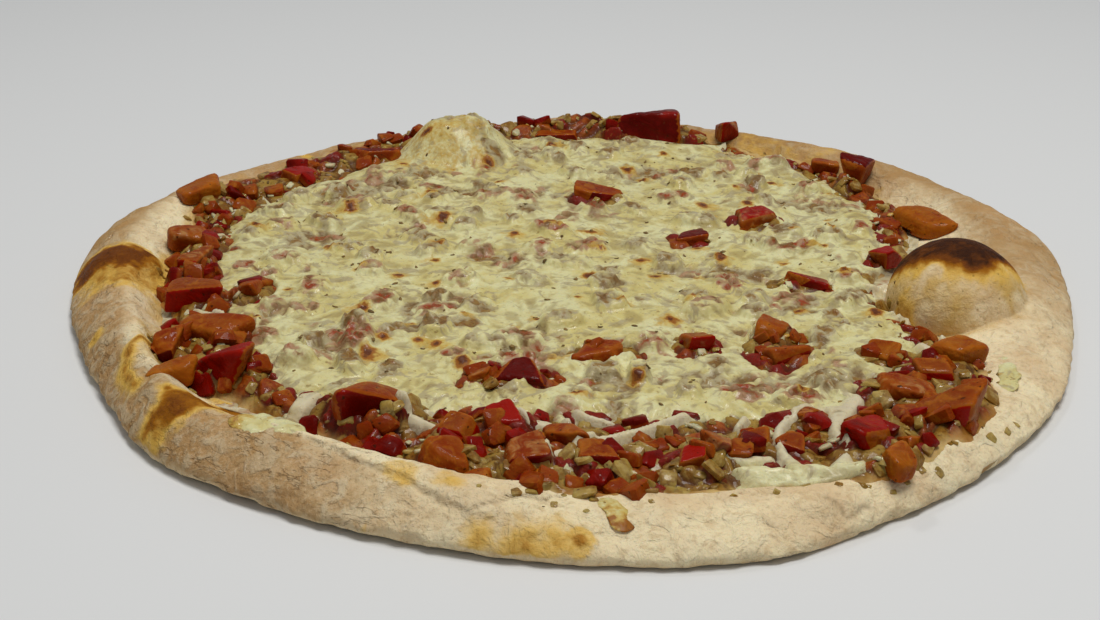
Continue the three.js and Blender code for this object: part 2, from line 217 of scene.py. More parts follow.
FLOOR = 4.5  # thickness of the dough under the toppings
TIP = 2.6  # thickness of the rim's outer tip
FILL = 7.6  # level of the sauce where it lies on the flat dough
SAUCE_SKIN = 1.0  # thickness of the sauce where it climbs the rim
CHEESE_EDGE = 1.1  # thickness of the cheese at its outline
CHEESE = 2.3  # thickness of the cheese sheet
GAP = 0.35  # free space that the solids keep between the layers
UNDER_CURL = 22  # width of the band in which the underside curls up off the table

# Curves round the pizza, through one value every 15 degrees from +X.
edge_radius = around([
    150, 157.5, 158, 157.5, 157.5, 157.5, 157, 156, 156, 157, 158.5, 157.5,
    151, 145.5, 144.5, 149.5, 149.5, 152, 156, 159.5, 154, 150.5, 148.5, 146.5,
])
crest_height = around([
    11, 11.5, 10.5, 11.5, 11, 12, 13, 11.5, 10.5, 10, 11.5, 13.5,
    14, 14, 14, 13.5, 12.5, 11.5, 10, 9.5, 9, 9, 10, 10.5,
])
crest_inset = around([
    20, 19, 17, 14, 12, 11, 11, 11, 12, 13, 14, 16,
    16, 15, 12, 12, 16, 18, 18, 19, 9, 11, 17, 20,
])
toe_inset = around([
    41, 42.5, 35, 29.5, 26.5, 24.5, 25, 25, 28, 32, 34.5, 35.5,
    32, 26.5, 19.5, 27.5, 31.5, 26, 24, 26, 16, 20, 31, 39.5,
])
edge_lift = around([
    1, 1.5, 1.5, 1.5, 1.5, 1, 1, 1, 1, 1.5, 1.5, 1.5,
    1.2, 1, 1, 1.2, 1.2, 1, 0.6, 0.5, 0.5, 1.2, 1.2, 1,
])
sauce_radius = around([
    92, 110, 127, 133, 139, 142, 142, 142, 140, 136, 138, 129,
    123, 120, 130, 119, 117, 128, 134, 134, 143, 142, 125, 96,
])
cheese_mean = around([
    89, 102, 112, 124, 132, 137, 136, 138, 129, 121, 119, 115,
    109, 102, 103, 109, 104, 97, 95, 100, 108, 110, 106, 92,
])
# How tan the rim is baked, and how far the sauce has soaked into it.
rim_tan = around([
    0.65, 0.85, 0.85, 0.85, 0.95, 1, 1, 1, 0.95, 0.9, 0.9, 0.85,
    0.8, 0.85, 0.9, 0.85, 0.75, 0.35, 0.12, 0.05, 0.05, 0.05, 0.15, 0.35,
])
rim_soak = around([
    0.2, 0.3, 0.5, 0.5, 0.5, 0.5, 0.5, 0.5, 0.5, 0.6, 0.7, 0.8,
    0.9, 0.7, 0.5, 0.9, 1.0, 0.7, 0.45, 0.4, 0.3, 0.3, 0.3, 0.2,
])

# An oval is (x, y, across, along, turn in degrees).
MOUND = (-40, 116, 27, 24, 0)
MOUND_HEIGHT = 13.5
BIG_BUBBLE = (112, -17, 20, 22, 10)
LEFT_BLISTER = (-136, 5, 12, 14, 0)
FRONT_BLISTER = (-6, -145, 17, 8, 4)
# Bubbles: oval, level of the middle and half height.
BUBBLES = [
    (BIG_BUBBLE, 7, 19.5),
    (LEFT_BLISTER, 6, 9.5),
    (FRONT_BLISTER, 3.5, 6.2),
    ((58, -135, 15, 7, 26), 3.5, 7),
    ((129, 60, 18, 9, 115), 6, 7),
]
# Openings in the cheese, where sauce and tomato show.
OPENINGS = [
    (-17, -74, 15, 7, 4), (8, -59, 10, 7, 0), (33, -54, 7, 8, 0), (56, -56, 10, 15, -25),
    (83, -60, 8, 6, -20), (9, 67, 11, 7, 0), (59, 43, 9, 8, 15), (37, 27, 7, 6, 0),
    (69, -9, 10, 5, -5), (-94, -16, 7, 8, -12),
]
# Creases in the dough: points in plan, width and depth.
CREASES = [
    ([(-66, -115), (-52, -126), (-42, -132), (-34, -138), (-25, -146)], 0.8, 0.5),
    ([(-24, -145), (-14, -141), (-4, -140)], 0.7, 0.35),
    ([(-82, -126), (-75, -128), (-66, -132)], 0.8, 0.5),
    ([(57, -139), (62, -141), (68, -137)], 0.7, 0.25),
]
FOLD_CREST = [(-109, -86), (-99, -78), (-86, -79), (-74, -88), (-62, -101)]
POCKET_RIDGE = [(-114, -54), (-119, -63), (-119, -73), (-114, -83)]
# Tomato dice: place, length, width, height, turn in degrees, and the side that shows.
TOMATOES = [
    (-52, -95, 19, 14, 11, 18, "skin"), (-32, -122, 12, 10, 9, 10, "flesh"),
    (-29, -108, 9, 8, 7, -15, "skin"), (-18, -102, 10, 9, 7, 20, "skin"),
    (-13, -122, 12, 10, 8, 25, "skin"), (-23, -129, 10, 6, 5, -5, "flesh"),
    (-2, -110, 12, 8, 6, -8, "flesh"), (5, -122, 12, 9, 7, -5, "skin"),
    (-8, -130, 7, 5, 4, 0, "flesh"), (27, -123, 7, 7, 6, 0, "skin"),
    (34, -117, 7, 7, 7, -4, "skin"), (43, -113, 8, 7, 5, 8, "flesh"),
    (52, -114, 7, 6, 5, -10, "skin"), (72, -110, 17, 10, 8, 62, "skin"),
    (76, -125, 11, 8, 7, 112, "flesh"), (85, -85, 16, 11, 7, -10, "flesh"),
    (91, -100, 18, 8, 8, -10, "skin"), (102, -63, 13, 11, 9, 32, "flesh"),
    (94, -74, 11, 7, 6, 8, "skin"), (58, -98, 7, 6, 5, 30, "flesh"),
    (-16, -76, 12, 8, 7, 10, "skin"), (-26, -76, 6, 6, 5, 0, "flesh"),
    (8, -60, 14, 9, 6, -5, "flesh"), (33, -54, 8, 9, 6, 10, "skin"),
    (54, -47, 11, 8, 7, 62, "flesh"), (57, -62, 14, 8, 6, 22, "skin"),
    (83, -60, 10, 7, 5, -25, "flesh"), (69, -9, 14, 6, 5, -4, "skin"),
    (97, 12, 8, 7, 6, 20, "skin"), (37, 27, 10, 8, 5, 10, "skin"),
    (59, 43, 13, 10, 7, 15, "skin"), (9, 67, 15, 9, 6, -4, "skin"),
    (30, 134, 25, 10, 11, -8, "skin"), (58, 131, 9, 8, 6, 20, "skin"),
    (99, 88, 17, 8, 14, 76, "skin"), (90, 101, 11, 8, 5, -20, "flesh"),
    (115, 46, 20, 12, 7, 104, "flesh"), (-123, 64, 17, 10, 6, 30, "flesh"),
    (-120, 27, 14, 10, 7, 15, "flesh"), (-115, 5, 12, 7, 7, 78, "skin"),
    (-111, -20, 14, 12, 8, 8, "skin"), (-100, -47, 17, 12, 8, -32, "flesh"),
    (-94, -15, 8, 8, 6, 0, "flesh"), (-111, -59, 7, 7, 7, 10, "skin"),
    (-105, -77, 11, 8, 6, -8, "flesh"), (-95, -70, 16, 8, 8, -14, "skin"),
    (-71, 110, 23, 9, 6, 12, "skin"), (-93, 89, 13, 8, 5, 42, "skin"),
    (0, 136, 26, 6, 4, 2, "skin"),
]
ONION_BITS = 20  # onion pieces as large as those of the solid

# ---- The layers as heights over the plan --------------------------------------------------------


def cheese_radius(angle):
    """Radius of the cheese's outline, which always stays inside the sauce's."""
    ragged = 2.5 * lumps(angle * 16, np.zeros_like(angle), 1, 6)
    return np.minimum(cheese_mean(angle) + ragged, sauce_radius(angle) - 2)


def dough_top(x, y):
    """Height of the dough: a flat bed, a crest round it and a mound at the back."""
    angle, radius = polar(x, y)
    inset = edge_radius(angle) - radius
    crest, crest_in = crest_height(angle), crest_inset(angle)
    tip = edge_lift(angle) + TIP
    rise = 1 - (1 - clamp(inset / crest_in)) ** 2
    fall = smooth((inset - crest_in) / (toe_inset(angle) - crest_in))
    uneven = 0.9 * lumps(x, y, 24, 1) + 0.4 * lumps(x, y, 9, 2)
    mound = MOUND_HEIGHT * smooth(1.25 * (1 - within(x, y, MOUND)))
    rim = tip + (crest - tip) * rise + (FLOOR - crest) * fall
    return rim + uneven * (1 - fall) * clamp(inset / 5) + mound * (0.4 + 0.6 * fall)


def sauce_inside(x, y):
    """How far a point lies inside the sauce's ragged outline, which has run over the rim in front."""
    angle, radius = polar(x, y)
    spilled = 4.0 * smooth((-y - 60) / 40) + 4.5 * smooth((y - 50) / 50) * smooth((60 - x) / 40)
    spilled += 3.2 * rough(x, y, 9, 21) + 1.1 * rough(x, y, 2.6, 22)
    to_crest = edge_radius(angle) - radius - 0.7 * crest_inset(angle) + 1.5 * rough(x, y, 6, 23)
    return np.minimum(sauce_radius(angle) - radius + spilled, to_crest)


def sauce_top(x, y):
    """Height of the sauce, level over the bed and a thin skin where it climbs the rim."""
    angle, radius = polar(x, y)
    inside = sauce_radius(angle) - radius
    lumpy = 0.5 * lumps(x, y, 11, 3) * (1 - smooth((inside - 30) / 10))
    skin = SAUCE_SKIN * (0.5 + 0.5 * clamp(inside / 3))
    return np.maximum(FILL + lumpy, dough_top(x, y) + GAP + skin)


def cheese_inside(x, y):
    """How far a point lies inside the cheese's outline and outside its openings."""
    angle, radius = polar(x, y)
    inside = cheese_radius(angle) - radius
    for oval in OPENINGS:
        inside = np.minimum(inside, (within(x, y, oval) - 0.85) * (oval[2] + oval[3]) / 2)
    return inside + 2.6 * rough(x, y, 5.5, 31)


def cheese_top(x, y):
    """Height of the cheese sheet, thinnest at its outline."""
    angle, radius = polar(x, y)
    uneven = 0.8 * lumps(x, y, 16, 4) + 0.5 * lumps(x, y, 8, 5)
    inside = cheese_radius(angle) - radius
    thick = CHEESE_EDGE + (CHEESE - CHEESE_EDGE + uneven) * smooth(inside / 9)
    return sauce_top(x, y) + GAP + thick


def surface(x, y):
    """The top of whatever lies at each place in plan."""
    angle, radius = polar(x, y)
    bare = np.zeros(np.shape(x), bool)
    for oval in OPENINGS:
        bare |= within(x, y, oval) < 1
    under_cheese = (radius < cheese_radius(angle)) & ~bare
    below = np.where(radius < sauce_radius(angle), sauce_top(x, y), dough_top(x, y))
    return np.where(under_cheese, cheese_top(x, y), below)


# ---- Meshes -----------------------------------------------------------------------------------

CENTRE = [np.zeros((1, 2))]  # the ring of a single point in the middle


def raised_to(height_at, rings):
    """The points of rings in plan, raised to the height of a surface."""
    plan = np.concatenate(rings)
    return np.column_stack([plan, height_at(*plan.T)])


def ring(radius_at, count):
    """Points in plan on a closed curve, given by its radius at each angle."""
    angle = np.arange(count) / count * TURN
    radius = radius_at(angle)
    return np.stack([radius * np.cos(angle), radius * np.sin(angle)], 1)


def discs(curve, rows):
    """Rings inside a closed curve. Each row is a share of its radius and a number of points."""
    return [ring(lambda angle: curve(angle) * share, count) for share, count in rows]


def filled(curve, rows, reach, spacing):
    """Evenly spaced rings inside a closed curve, whose radius is about reach."""
    shares = [k / rows for k in range(1, rows + 1)]
    return discs(curve, [(share, max(8, int(TURN * (reach * share) / spacing))) for share in shares])


def band(inner, outer, shares, count):
    """Rings between two closed curves, each at a share of the way from inner to outer."""
    return [ring(lambda angle: inner(angle) * (1 - share) + outer(angle) * share, count)
            for share in shares]


def zipped(rings):
    """The triangles of a skin over rings of points. Neighbours may differ in number."""
    faces, start = [], 0
    for inner, outer in zip(rings, rings[1:]):
        n, m = len(inner), len(outer)
        steps_in = n if n > 1 else 0
        steps_out = m if m > 1 else 0
        ends = np.concatenate([
            np.arange(1, steps_in + 1) / n + 1e-9,
            np.arange(1, steps_out + 1) / m,
        ])
        is_in = np.arange(steps_in + steps_out) < steps_in
        is_in = is_in[np.argsort(ends, kind="stable")]
        i = np.cumsum(is_in) - is_in
        j = np.cumsum(~is_in) - ~is_in
        a, b = start + i % n, start + n + j % m
        next_a, next_b = start + (i + 1) % n, start + n + (j + 1) % m
        faces.append(np.stack([a, b, np.where(is_in, next_a, next_b)], 1))
        start += n
    return np.concatenate(faces)


def joined(parts):
    """Several meshes as one list of points and faces."""
    points, faces, start = [], [], 0
    for part_points, part_faces in parts:
        points.append(part_points)
        faces.append(part_faces + start)
        start += len(part_points)
    return np.concatenate(points), np.concatenate(faces)


def add_object(name, data):
    """A new object in the scene."""
    made = bpy.data.objects.new(name, data)
    bpy.context.scene.collection.objects.link(made)
    return made


def make_mesh(name, points, faces, marks=None):
    """A smooth mesh object from points in millimetres, with a named value for each point."""
    mesh = bpy.data.meshes.new(name)
    mesh.from_pydata((np.asarray(points) * MM).tolist(), [], np.asarray(faces).tolist())
    for mark, values in (marks or {}).items():
        layer = mesh.attributes.new(mark, "FLOAT", "POINT")
        layer.data.foreach_set("value", np.asarray(values, np.float32))
    mesh.shade_smooth()
    mesh.update()
    return add_object(name, mesh)


def finish_piece(made, material, slot, *nodes):
    """Gives a piece its material and the nodes that it stands for. The slot is not used."""
    made.data.materials.clear()
    made.data.materials.append(material)
    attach(made, "root")
    if nodes:
        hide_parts(*nodes)
    return made


# ---- Shader helpers ---------------------------------------------------------------------------

LIGHT = 0.8  # how bright a white surface lies in the scene's light


def seen(red, green, blue):
    """The base colour of a surface that looks like this, from 0 to 255, in the scene's light."""
    parts = [c / 255 for c in (red, green, blue)]
    parts = [c / 12.92 if c <= 0.04045 else ((c + 0.055) / 1.055) ** 2.4 for c in parts]
    return tuple(min(0.95, c / LIGHT) for c in parts) + (1.0,)


class Tree:
    """Adds nodes to a tree. An input is a plain value or the output of another node."""

    def __init__(self, tree):
        self.tree = tree

    def add(self, kind, settings=None, **inputs):
        node = self.tree.nodes.new(kind)
        for name, value in (settings or {}).items():
            setattr(node, name, value)
        self.wire(node, **inputs)
        return node

    def wire(self, node, **inputs):
        """Feeds inputs by their names, with underscores for spaces."""
        for name, value in inputs.items():
            self.feed(node.inputs[name.replace("_", " ")], value)

    def feed(self, socket, value):
        if isinstance(value, bpy.types.NodeSocket):
            self.tree.links.new(value, socket)
        else:
            socket.default_value = value

    def mark(self, name):
        return self.add("ShaderNodeAttribute", {"attribute_name": name}).outputs["Fac"]

    def place(self):
        return self.add("ShaderNodeTexCoord").outputs["Object"]

    def noise(self, size, detail=3.0, place=None, lumpy=0.55, distortion=0.0):
        """Noise from 0 to 1 whose lumps are about size millimetres across."""
        return self.add(
            "ShaderNodeTexNoise", Vector=place or self.place(), Scale=1 / (size * MM),
            Detail=detail, Roughness=lumpy, Distortion=distortion).outputs["Fac"]

    def vector(self, operation, *values):
        node = self.add("ShaderNodeVectorMath", {"operation": operation})
        for socket, value in zip(node.inputs, values):
            self.feed(socket, value)
        return node.outputs["Value" if operation == "LENGTH" else "Vector"]

    def cells(self, size):
        """Distance from the middle of cells about size millimetres across."""
        cells = self.add("ShaderNodeTexVoronoi", Vector=self.place(), Scale=1 / (size * MM))
        return cells.outputs["Distance"]

    def step(self, value, low, high, to_low=0.0, to_high=1.0):
        """The value's range from low to high, spread smoothly over another range."""
        node = self.add("ShaderNodeMapRange", {"interpolation_type": "SMOOTHSTEP"}, Value=value)
        self.wire(node, From_Min=low, From_Max=high, To_Min=to_low, To_Max=to_high)
        return node.outputs["Result"]

    def math(self, operation, first, second=0.0):
        node = self.add("ShaderNodeMath", {"operation": operation})
        self.feed(node.inputs[0], first)
        self.feed(node.inputs[1], second)
        return node.outputs[0]

    def times(self, first, second):
        return self.math("MULTIPLY", first, second)

    def plus(self, first, second):
        return self.math("ADD", first, second)

    def uneven(self, value, noise, swing):
        """A value made uneven by a noise, by half of swing either way."""
        return self.plus(value, self.times(self.math("SUBTRACT", noise, 0.5), swing))

    def mix(self, share, first, second):
        """A colour between two colours."""
        node = self.add("ShaderNodeMix", {"data_type": "RGBA"})
        self.feed(node.inputs[0], share)
        self.feed(node.inputs[6], first)
        self.feed(node.inputs[7], second)
        return node.outputs[2]

    def tint(self, colour, shade, share, most):
        """A colour tinted with a shade, by a share of most."""
        return self.mix(self.times(share, most), colour, shade)

    def lay(self, colour, *layers):
        """A colour with shades laid over it, each as its value goes from low to high."""
        for shade, value, low, high, most in layers:
            colour = self.tint(colour, shade, self.step(value, low, high), most)
        return colour

    def bump(self, height, depth, strength=1.0, normal=None):
        """A normal from a height whose full range is depth millimetres."""
        under = {} if normal is None else {"Normal": normal}
        node = self.add(
            "ShaderNodeBump", Height=height, Distance=depth * MM, Strength=strength, **under)
        return node.outputs["Normal"]


def new_material(name, **plain):
    """A material, the tree that feeds it and its Principled shader, with plain values set."""
    material = bpy.data.materials.new(name)
    material.use_nodes = True
    t = Tree(material.node_tree)
    shader = material.node_tree.nodes["Principled BSDF"]
    t.wire(shader, **plain)
    return material, t, shader


# ---- Dough ------------------------------------------------------------------------------------

CREAM = seen(226, 209, 170)
PALE = seen(238, 228, 198)
TAN = seen(164, 128, 82)
PINKISH = seen(188, 150, 106)
GOLD = seen(212, 170, 74)
AMBER = seen(148, 92, 12)
BROWN = seen(104, 54, 6)
CHAR = seen(50, 22, 4)
SOAKED = seen(190, 152, 72)


def along_rim(t, stretch):
    """Coordinates in which every grain is drawn out along the rim."""
    coords = t.place()
    flat = t.vector("MULTIPLY", coords, (1, 1, 0))
    height = t.add("ShaderNodeSeparateXYZ", Vector=coords).outputs["Z"]
    across = t.math("SUBTRACT", t.vector("LENGTH", flat), height)
    turned = t.vector("MULTIPLY", t.vector("NORMALIZE", flat), (150 * MM / stretch,) * 3)
    return t.vector("ADD", turned, t.add("ShaderNodeCombineXYZ", Z=across).outputs["Vector"])


def dough_material():
    """Floury dough, tan where it is marked so, soaked and scorched in places, with shade painted into
    its cracks, creases and pitted spots.
    """
    material, t, shader = new_material(
        "baked dough", Subsurface_Weight=0.1, Subsurface_Scale=0.003, Specular_IOR_Level=0.1,
        Subsurface_Radius=(1.0, 0.6, 0.3))
    broad, mid = t.noise(24, 3.0), t.noise(7, 4.0, distortion=0.6)
    small, dust = t.noise(2.6, 5.0, distortion=0.4), t.noise(1.1, 4.0, lumpy=0.75)
    tan = t.step(t.uneven(t.mark("tan"), mid, 0.6), 0.1, 0.9)
    colour = t.mix(tan, CREAM, TAN)
    colour = t.lay(
        colour,
        (seen(146, 108, 64), t.mark("tan"), 0.85, 1.0, 0.7),
        (PINKISH, broad, 0.42, 0.64, 0.5),
        (seen(170, 138, 92), small, 0.5, 0.66, 0.35))
    plates = t.step(t.noise(6, 4.0, distortion=1.0), 0.44, 0.62)
    plates = t.times(plates, t.step(t.mark("shaded_pits"), 0.2, 0.9, 1.0, 0.0))
    colour = t.tint(colour, PALE, t.times(plates, t.mark("flour")), 0.22)
    grain = t.times(t.step(dust, 0.52, 0.66), t.mark("grain"))
    colour = t.tint(colour, seen(206, 184, 150), grain, 0.45)
    specks = t.times(t.step(dust, 0.46, 0.34), t.step(t.mark("grain"), 0.1, 0.8, 0.2, 0.5))
    colour = t.mix(specks, colour, seen(126, 94, 58))
    # Painted shade: dark lines in the cracks along the rim and in the creases, where shade falls.
    line = t.math("ABSOLUTE", t.math("SUBTRACT", t.noise(4.5, 4.0, place=along_rim(t, 3.0)), 0.5))
    shaded_crack = t.times(t.step(line, 0.0, 0.02, 1.0, 0.0), t.step(t.noise(10, 2.0), 0.5, 0.58))
    grained = t.times(t.mark("grain"), t.mark("grain"))
    shaded_crack = t.math("MAXIMUM", t.times(t.times(shaded_crack, grained), 0.85), t.mark("shaded_crack"))
    colour = t.tint(colour, seen(104, 74, 42), shaded_crack, 0.6)
    soaked = t.step(t.uneven(t.mark("soak"), mid, 0.9), 0.15, 1.0)
    colour = t.tint(colour, SOAKED, soaked, 0.9)
    toast = t.uneven(t.mark("toast"), mid, 0.3)
    toast = t.uneven(toast, small, 0.3)
    colour = t.lay(
        colour,
        (GOLD, toast, 0.1, 0.5, 0.85),
        (AMBER, toast, 0.4, 0.7, 1.0),
        (BROWN, toast, 0.65, 0.85, 1.0),
        (CHAR, toast, 0.85, 1.05, 1.0))
    # Painted shade: dark dots in the pores of the big bubble.
    shaded_pits = t.step(t.cells(3.0), 0.0, 0.18, 1.0, 0.0)
    colour = t.tint(colour, seen(112, 80, 30), t.times(shaded_pits, t.mark("shaded_pits")), 0.7)
    normal = t.bump(dust, 0.4, 0.9)
    normal = t.bump(small, 0.8, 0.9, normal)
    normal = t.bump(plates, 0.35, 0.8, normal)
    normal = t.bump(t.step(shaded_crack, 0.0, 1.0, 1.0, 0.0), 0.3, 0.9, normal)
    t.wire(shader, Base_Color=colour, Roughness=t.step(toast, 0.3, 0.9, 0.9, 0.6),
           Normal=t.bump(mid, 1.0, 0.5, normal))
    return material


LIP = 2.4  # width of the rounded lip at the outer edge of the dough
FOOT_REACH = 1.7  # where a bubble's soft foot ends, if its outline is at 1


def lip(inset):
    """How far each side of the lip curves in towards its middle."""
    return TIP / 2 * (1 - np.sqrt(1 - (1 - clamp(inset / LIP)) ** 2))


def blown(points):
    """Blows the bubbles up out of the dough's skin, each as a round cap with a soft foot."""
    x, y = points.T.copy()
    angle, radius = polar(x, y)
    hold = smooth((edge_radius(angle) - radius) / 5)
    raised = np.full(len(x), -100.0)
    for oval, level, rise in BUBBLES:
        ox, oy = oval[:2]
        reach = within(x, y, oval)
        near = reach < FOOT_REACH
        q = np.maximum(reach[near], 1e-4)
        ux, uy = (x[near] - ox) / q, (y[near] - oy) / q
        foot = np.full(q.size, 1.3)
        for _ in range(12):
            ground = dough_top(ox + ux * np.sin(foot), oy + uy * np.sin(foot))
            foot = (foot + np.arccos(np.clip((ground - level) / rise, -0.2, 0.96))) / 2
        past = np.maximum(q - 1, 0)
        spread = np.sin(np.minimum(q, 1) * foot)
        spread += past / (FOOT_REACH - 1) * (FOOT_REACH - np.sin(foot))
        dome = level + rise * np.cos(np.minimum(q, 1) * foot) - 14 * past
        x[near] += (ox + ux * spread - x[near]) * hold[near]
        y[near] += (oy + uy * spread - y[near]) * hold[near]
        dome += 0.5 * rough(x[near], y[near], 8, 61) + 0.25 * rough(x[near], y[near], 3, 62) - 0.9
        raised[near] = np.maximum(raised[near], dome)
    ground = dough_skin(x, y)
    blend = 0.8
    risen = blend * np.logaddexp(ground / blend, raised / blend)
    return np.column_stack([x, y, ground + (risen - ground) * hold])


def crease_lines(x, y, spread):
    """The creases in the dough, from 0 to 1, and how deep each one cuts."""
    wx, wy = x + 0.8 * lumps(x, y, 3, 74), y + 0.8 * lumps(x, y, 3, 75)
    lines = [bell(off_line(wx, wy, line) / width, spread) for line, width, _ in CREASES]
    return np.array(lines), np.array([depth for _, _, depth in CREASES])[:, None]


def inside_crease(x, y):
    """1 on the cream-coloured inner side of the long crease at the front left."""
    angle, radius = polar(x, y)
    turns, reaches = polar(*np.array(CREASES[0][0], float).T)
    span = smooth((angle - turns[0]) / 0.2 + 1) * smooth((turns[-1] - angle) / 0.15 + 1)
    return span * smooth((np.interp(angle, turns, reaches) - radius) / 1.5 + 0.5)


def dough_skin(x, y):
    """The bare top of the dough with its fine relief."""
    angle, radius = polar(x, y)
    inset = edge_radius(angle) - radius
    bare = smooth((radius - sauce_radius(angle) + 4) / 6)
    relief = 0.6 * rough(x, y, 9, 70) + 0.4 * rough(x, y, 4.5, 71) + 0.2 * rough(x, y, 2.2, 72)
    relief += 0.8 * (0.4 - np.abs(rough(x, y, 15, 79)))
    relief -= 0.5 * smooth((rough(x, y, 4.5, 73) - 0.4) / 0.3)
    lines, depths = crease_lines(x, y, 1.0)
    relief -= (lines * depths).sum(0)
    relief += 0.9 * inside_crease(x, y)
    fold = 1.5 * bell(off_line(x, y, FOLD_CREST), 3.2)
    fold = np.maximum(fold, 1.2 * bell(off_line(x, y, POCKET_RIDGE), 2.6))
    return dough_top(x, y) - lip(inset) + (relief * clamp(inset / 3) + fold) * bare


def build_crust():
    """The dough as one closed skin: the top with its bubbles, the lip and the curled underside."""
    spokes, rows = 1000, 78

    def rim_reach(angle):
        return sauce_radius(angle) - 9

    def ragged_edge(angle):
        wave = lumps(angle * 60, angle * 0 + 3, 1, 76) * 0.35
        wave += lumps(angle * 24, angle * 0, 1, 77) * 0.5
        return edge_radius(angle) + wave - 0.4

    rings = CENTRE + discs(rim_reach, [
        (0.3, 60), (0.55, 120), (0.65, 200), (0.72, 250), (0.78, 300), (0.83, 350),
        (0.87, 400), (0.9, 450), (0.93, 500), (0.96, 600), (0.98, 800),
    ])
    rings += band(rim_reach, ragged_edge, [(k / rows) ** 0.93 for k in range(rows + 1)], spokes)
    skin = blown(np.concatenate(rings))

    def under(x, y):
        angle, radius = polar(x, y)
        inset = ragged_edge(angle) - radius
        lifted = edge_lift(angle) * (1 - clamp(inset / UNDER_CURL)) ** 2
        uneven = 0.15 * rough(x, y, 5, 78) * (inset < 14)
        return np.maximum(lifted + lip(inset) + uneven, 0)

    below = [ring(lambda angle: ragged_edge(angle) - inset, count) for inset, count in (
        (0.25, 1000), (0.8, 1000), (1.7, 800), (3, 500), (5, 400), (8, 300),
        (11, 240), (15, 200), (22, 160), (60, 60))] + CENTRE
    points = np.concatenate([skin, raised_to(under, below)])
    made = make_mesh("crust", points, zipped(rings + below), dough_marks(points, len(skin)))
    return finish_piece(made, dough_material(), "crust", "crust")


def dough_marks(points, top_count):
    """Where the dough is tan, toasted, floury, soaked or has spilled sauce, and where shade is painted
    into its cracks, creases and pitted spots.
    """
    x, y, z = points.T
    angle, radius = polar(x, y)
    inset = edge_radius(angle) - radius
    outside = radius - sauce_radius(angle)
    on_top = np.arange(len(x)) < top_count
    share = outside / (inset + outside)
    inner = 0.25 + 0.75 * smooth((y - 50) / 50)
    tan = rim_tan(angle) * (inner + (1 - inner) * smooth((share - 0.2) / 0.45))
    tan = tan * (1 - 0.8 * inside_crease(x, y))
    tan = np.where(on_top, tan, 0.4 + 0.35 * smooth((inset - 3) / 8))
    left = smooth((-x - 10) / 60) * smooth((40 - y) / 60)
    flour = 0.55 + 0.4 * left + 0.4 * rough(x, y, 18, 81)
    toast = np.maximum(bubble_toast(x, y, z), fold_toast(x, y))
    toast = np.maximum(toast, 0.5 * smooth((rough(x, y, 12, 82) - 0.45) / 0.4) * (tan > 0.45))
    back = smooth((y - 70) / 50) * (0.12 + 0.3 * rough(x, y, 14, 96))
    toast = np.maximum(toast, back * smooth((inset - 1) / 5))
    below = 0.45 * smooth((rough(x, y, 16, 83) + 0.2) / 0.7) * smooth((inset - 4) / 8)
    toast = np.where(on_top, toast, below)
    soak = rim_soak(angle) * smooth((7.5 - outside + 4 * rough(x, y, 8, 84)) / 8)
    body = patch(x, y, (109, -22, 22, 22, 10), 0.5)
    soak = np.maximum(soak, body * (0.55 + 0.5 * rough(x, y, 7, 97)))
    # Painted shade darkens the creases, and the pores of the big bubble below.
    shaded_crack = 0.6 * crease_lines(x, y, 0.8)[0].max(0)
    shaded_pits = 0.85 * patch(x, y, (112, -17, 24, 26, 10), 0.3) + 0.15
    past = -sauce_inside(x, y)
    reach = 2.5 + 3 * smooth((-y - 60) / 40) + 3 * rough(x, y, 8, 94)
    reach += 4 * bell(x + 14, 14) * (y < 0)
    spill = on_top * smooth((reach - past) / 3) * (past > -1)
    marks = {
        "tan": tan, "flour": flour, "grain": 0.15 + 0.85 * left * smooth(share / 0.4),
        "toast": toast, "spill": spill, "shaded_crack": shaded_crack * on_top, "soak": soak * on_top,
        "shaded_pits": shaded_pits * on_top,
    }
    return {name: clamp(values) for name, values in marks.items()}


# Browned patches on the dough: strength, oval, softness, raggedness and seed.
BROWN_PATCHES = [
    (0.86, (-140, 4, 17, 11, 0), 0.9, 0.4, 87),
    (0.56, (-132, -3, 15, 17, 20), 0.9, 0.4, 88),
    (0.42, (-42, -131, 6, 3.4, -30), 0.9, 0.5, 92),
    (0.36, (-30, -135, 5, 3.4, -20), 0.9, 0.5, 93),
]


def bubble_toast(x, y, z):
    """Browning on the blown bubbles, darkest on the crown of the big one."""
    warp = rough(x, y, 8, 85)
    streaks = rough(x * 2.4, y, 6, 80)
    on_dome = within(x, y, BIG_BUBBLE) < 1.15
    crown = y + 41 + 0.5 * (z - 18) - 0.6 * np.abs(x - 113) + 3.2 * warp + 3 * streaks
    crown = 1.25 * smooth(crown / 24) * smooth((z - 8) / 6)
    pale_spot = patch(x, y, (102, -27, 3.2, 3.2, 0), 0.7)
    foot = 0.62 * patch(x, y, (93, -30, 4.5, 8, 20), 0.9, 0.4, 86)
    big = on_dome * np.maximum(crown * (1 - 0.8 * pale_spot), foot)
    front = 0.5 * bell(within(x, y, (-10, -152, 14, 6.5, 6))) * (1 + 0.5 * warp)
    spot = within(x, y, (0, -152.5, 3.6, 3.2, 0))
    front = np.maximum(front, 0.43 * smooth((1.2 - spot) / 0.3) + 0.2 * smooth((0.6 - spot) / 0.3))
    front = np.maximum(front, 0.5 * bell(within(x, y, (-23, -150, 5, 4, 0))))
    patches = [strength * patch(x, y, *how) for strength, *how in BROWN_PATCHES]
    return np.maximum.reduce([big, front, *patches])


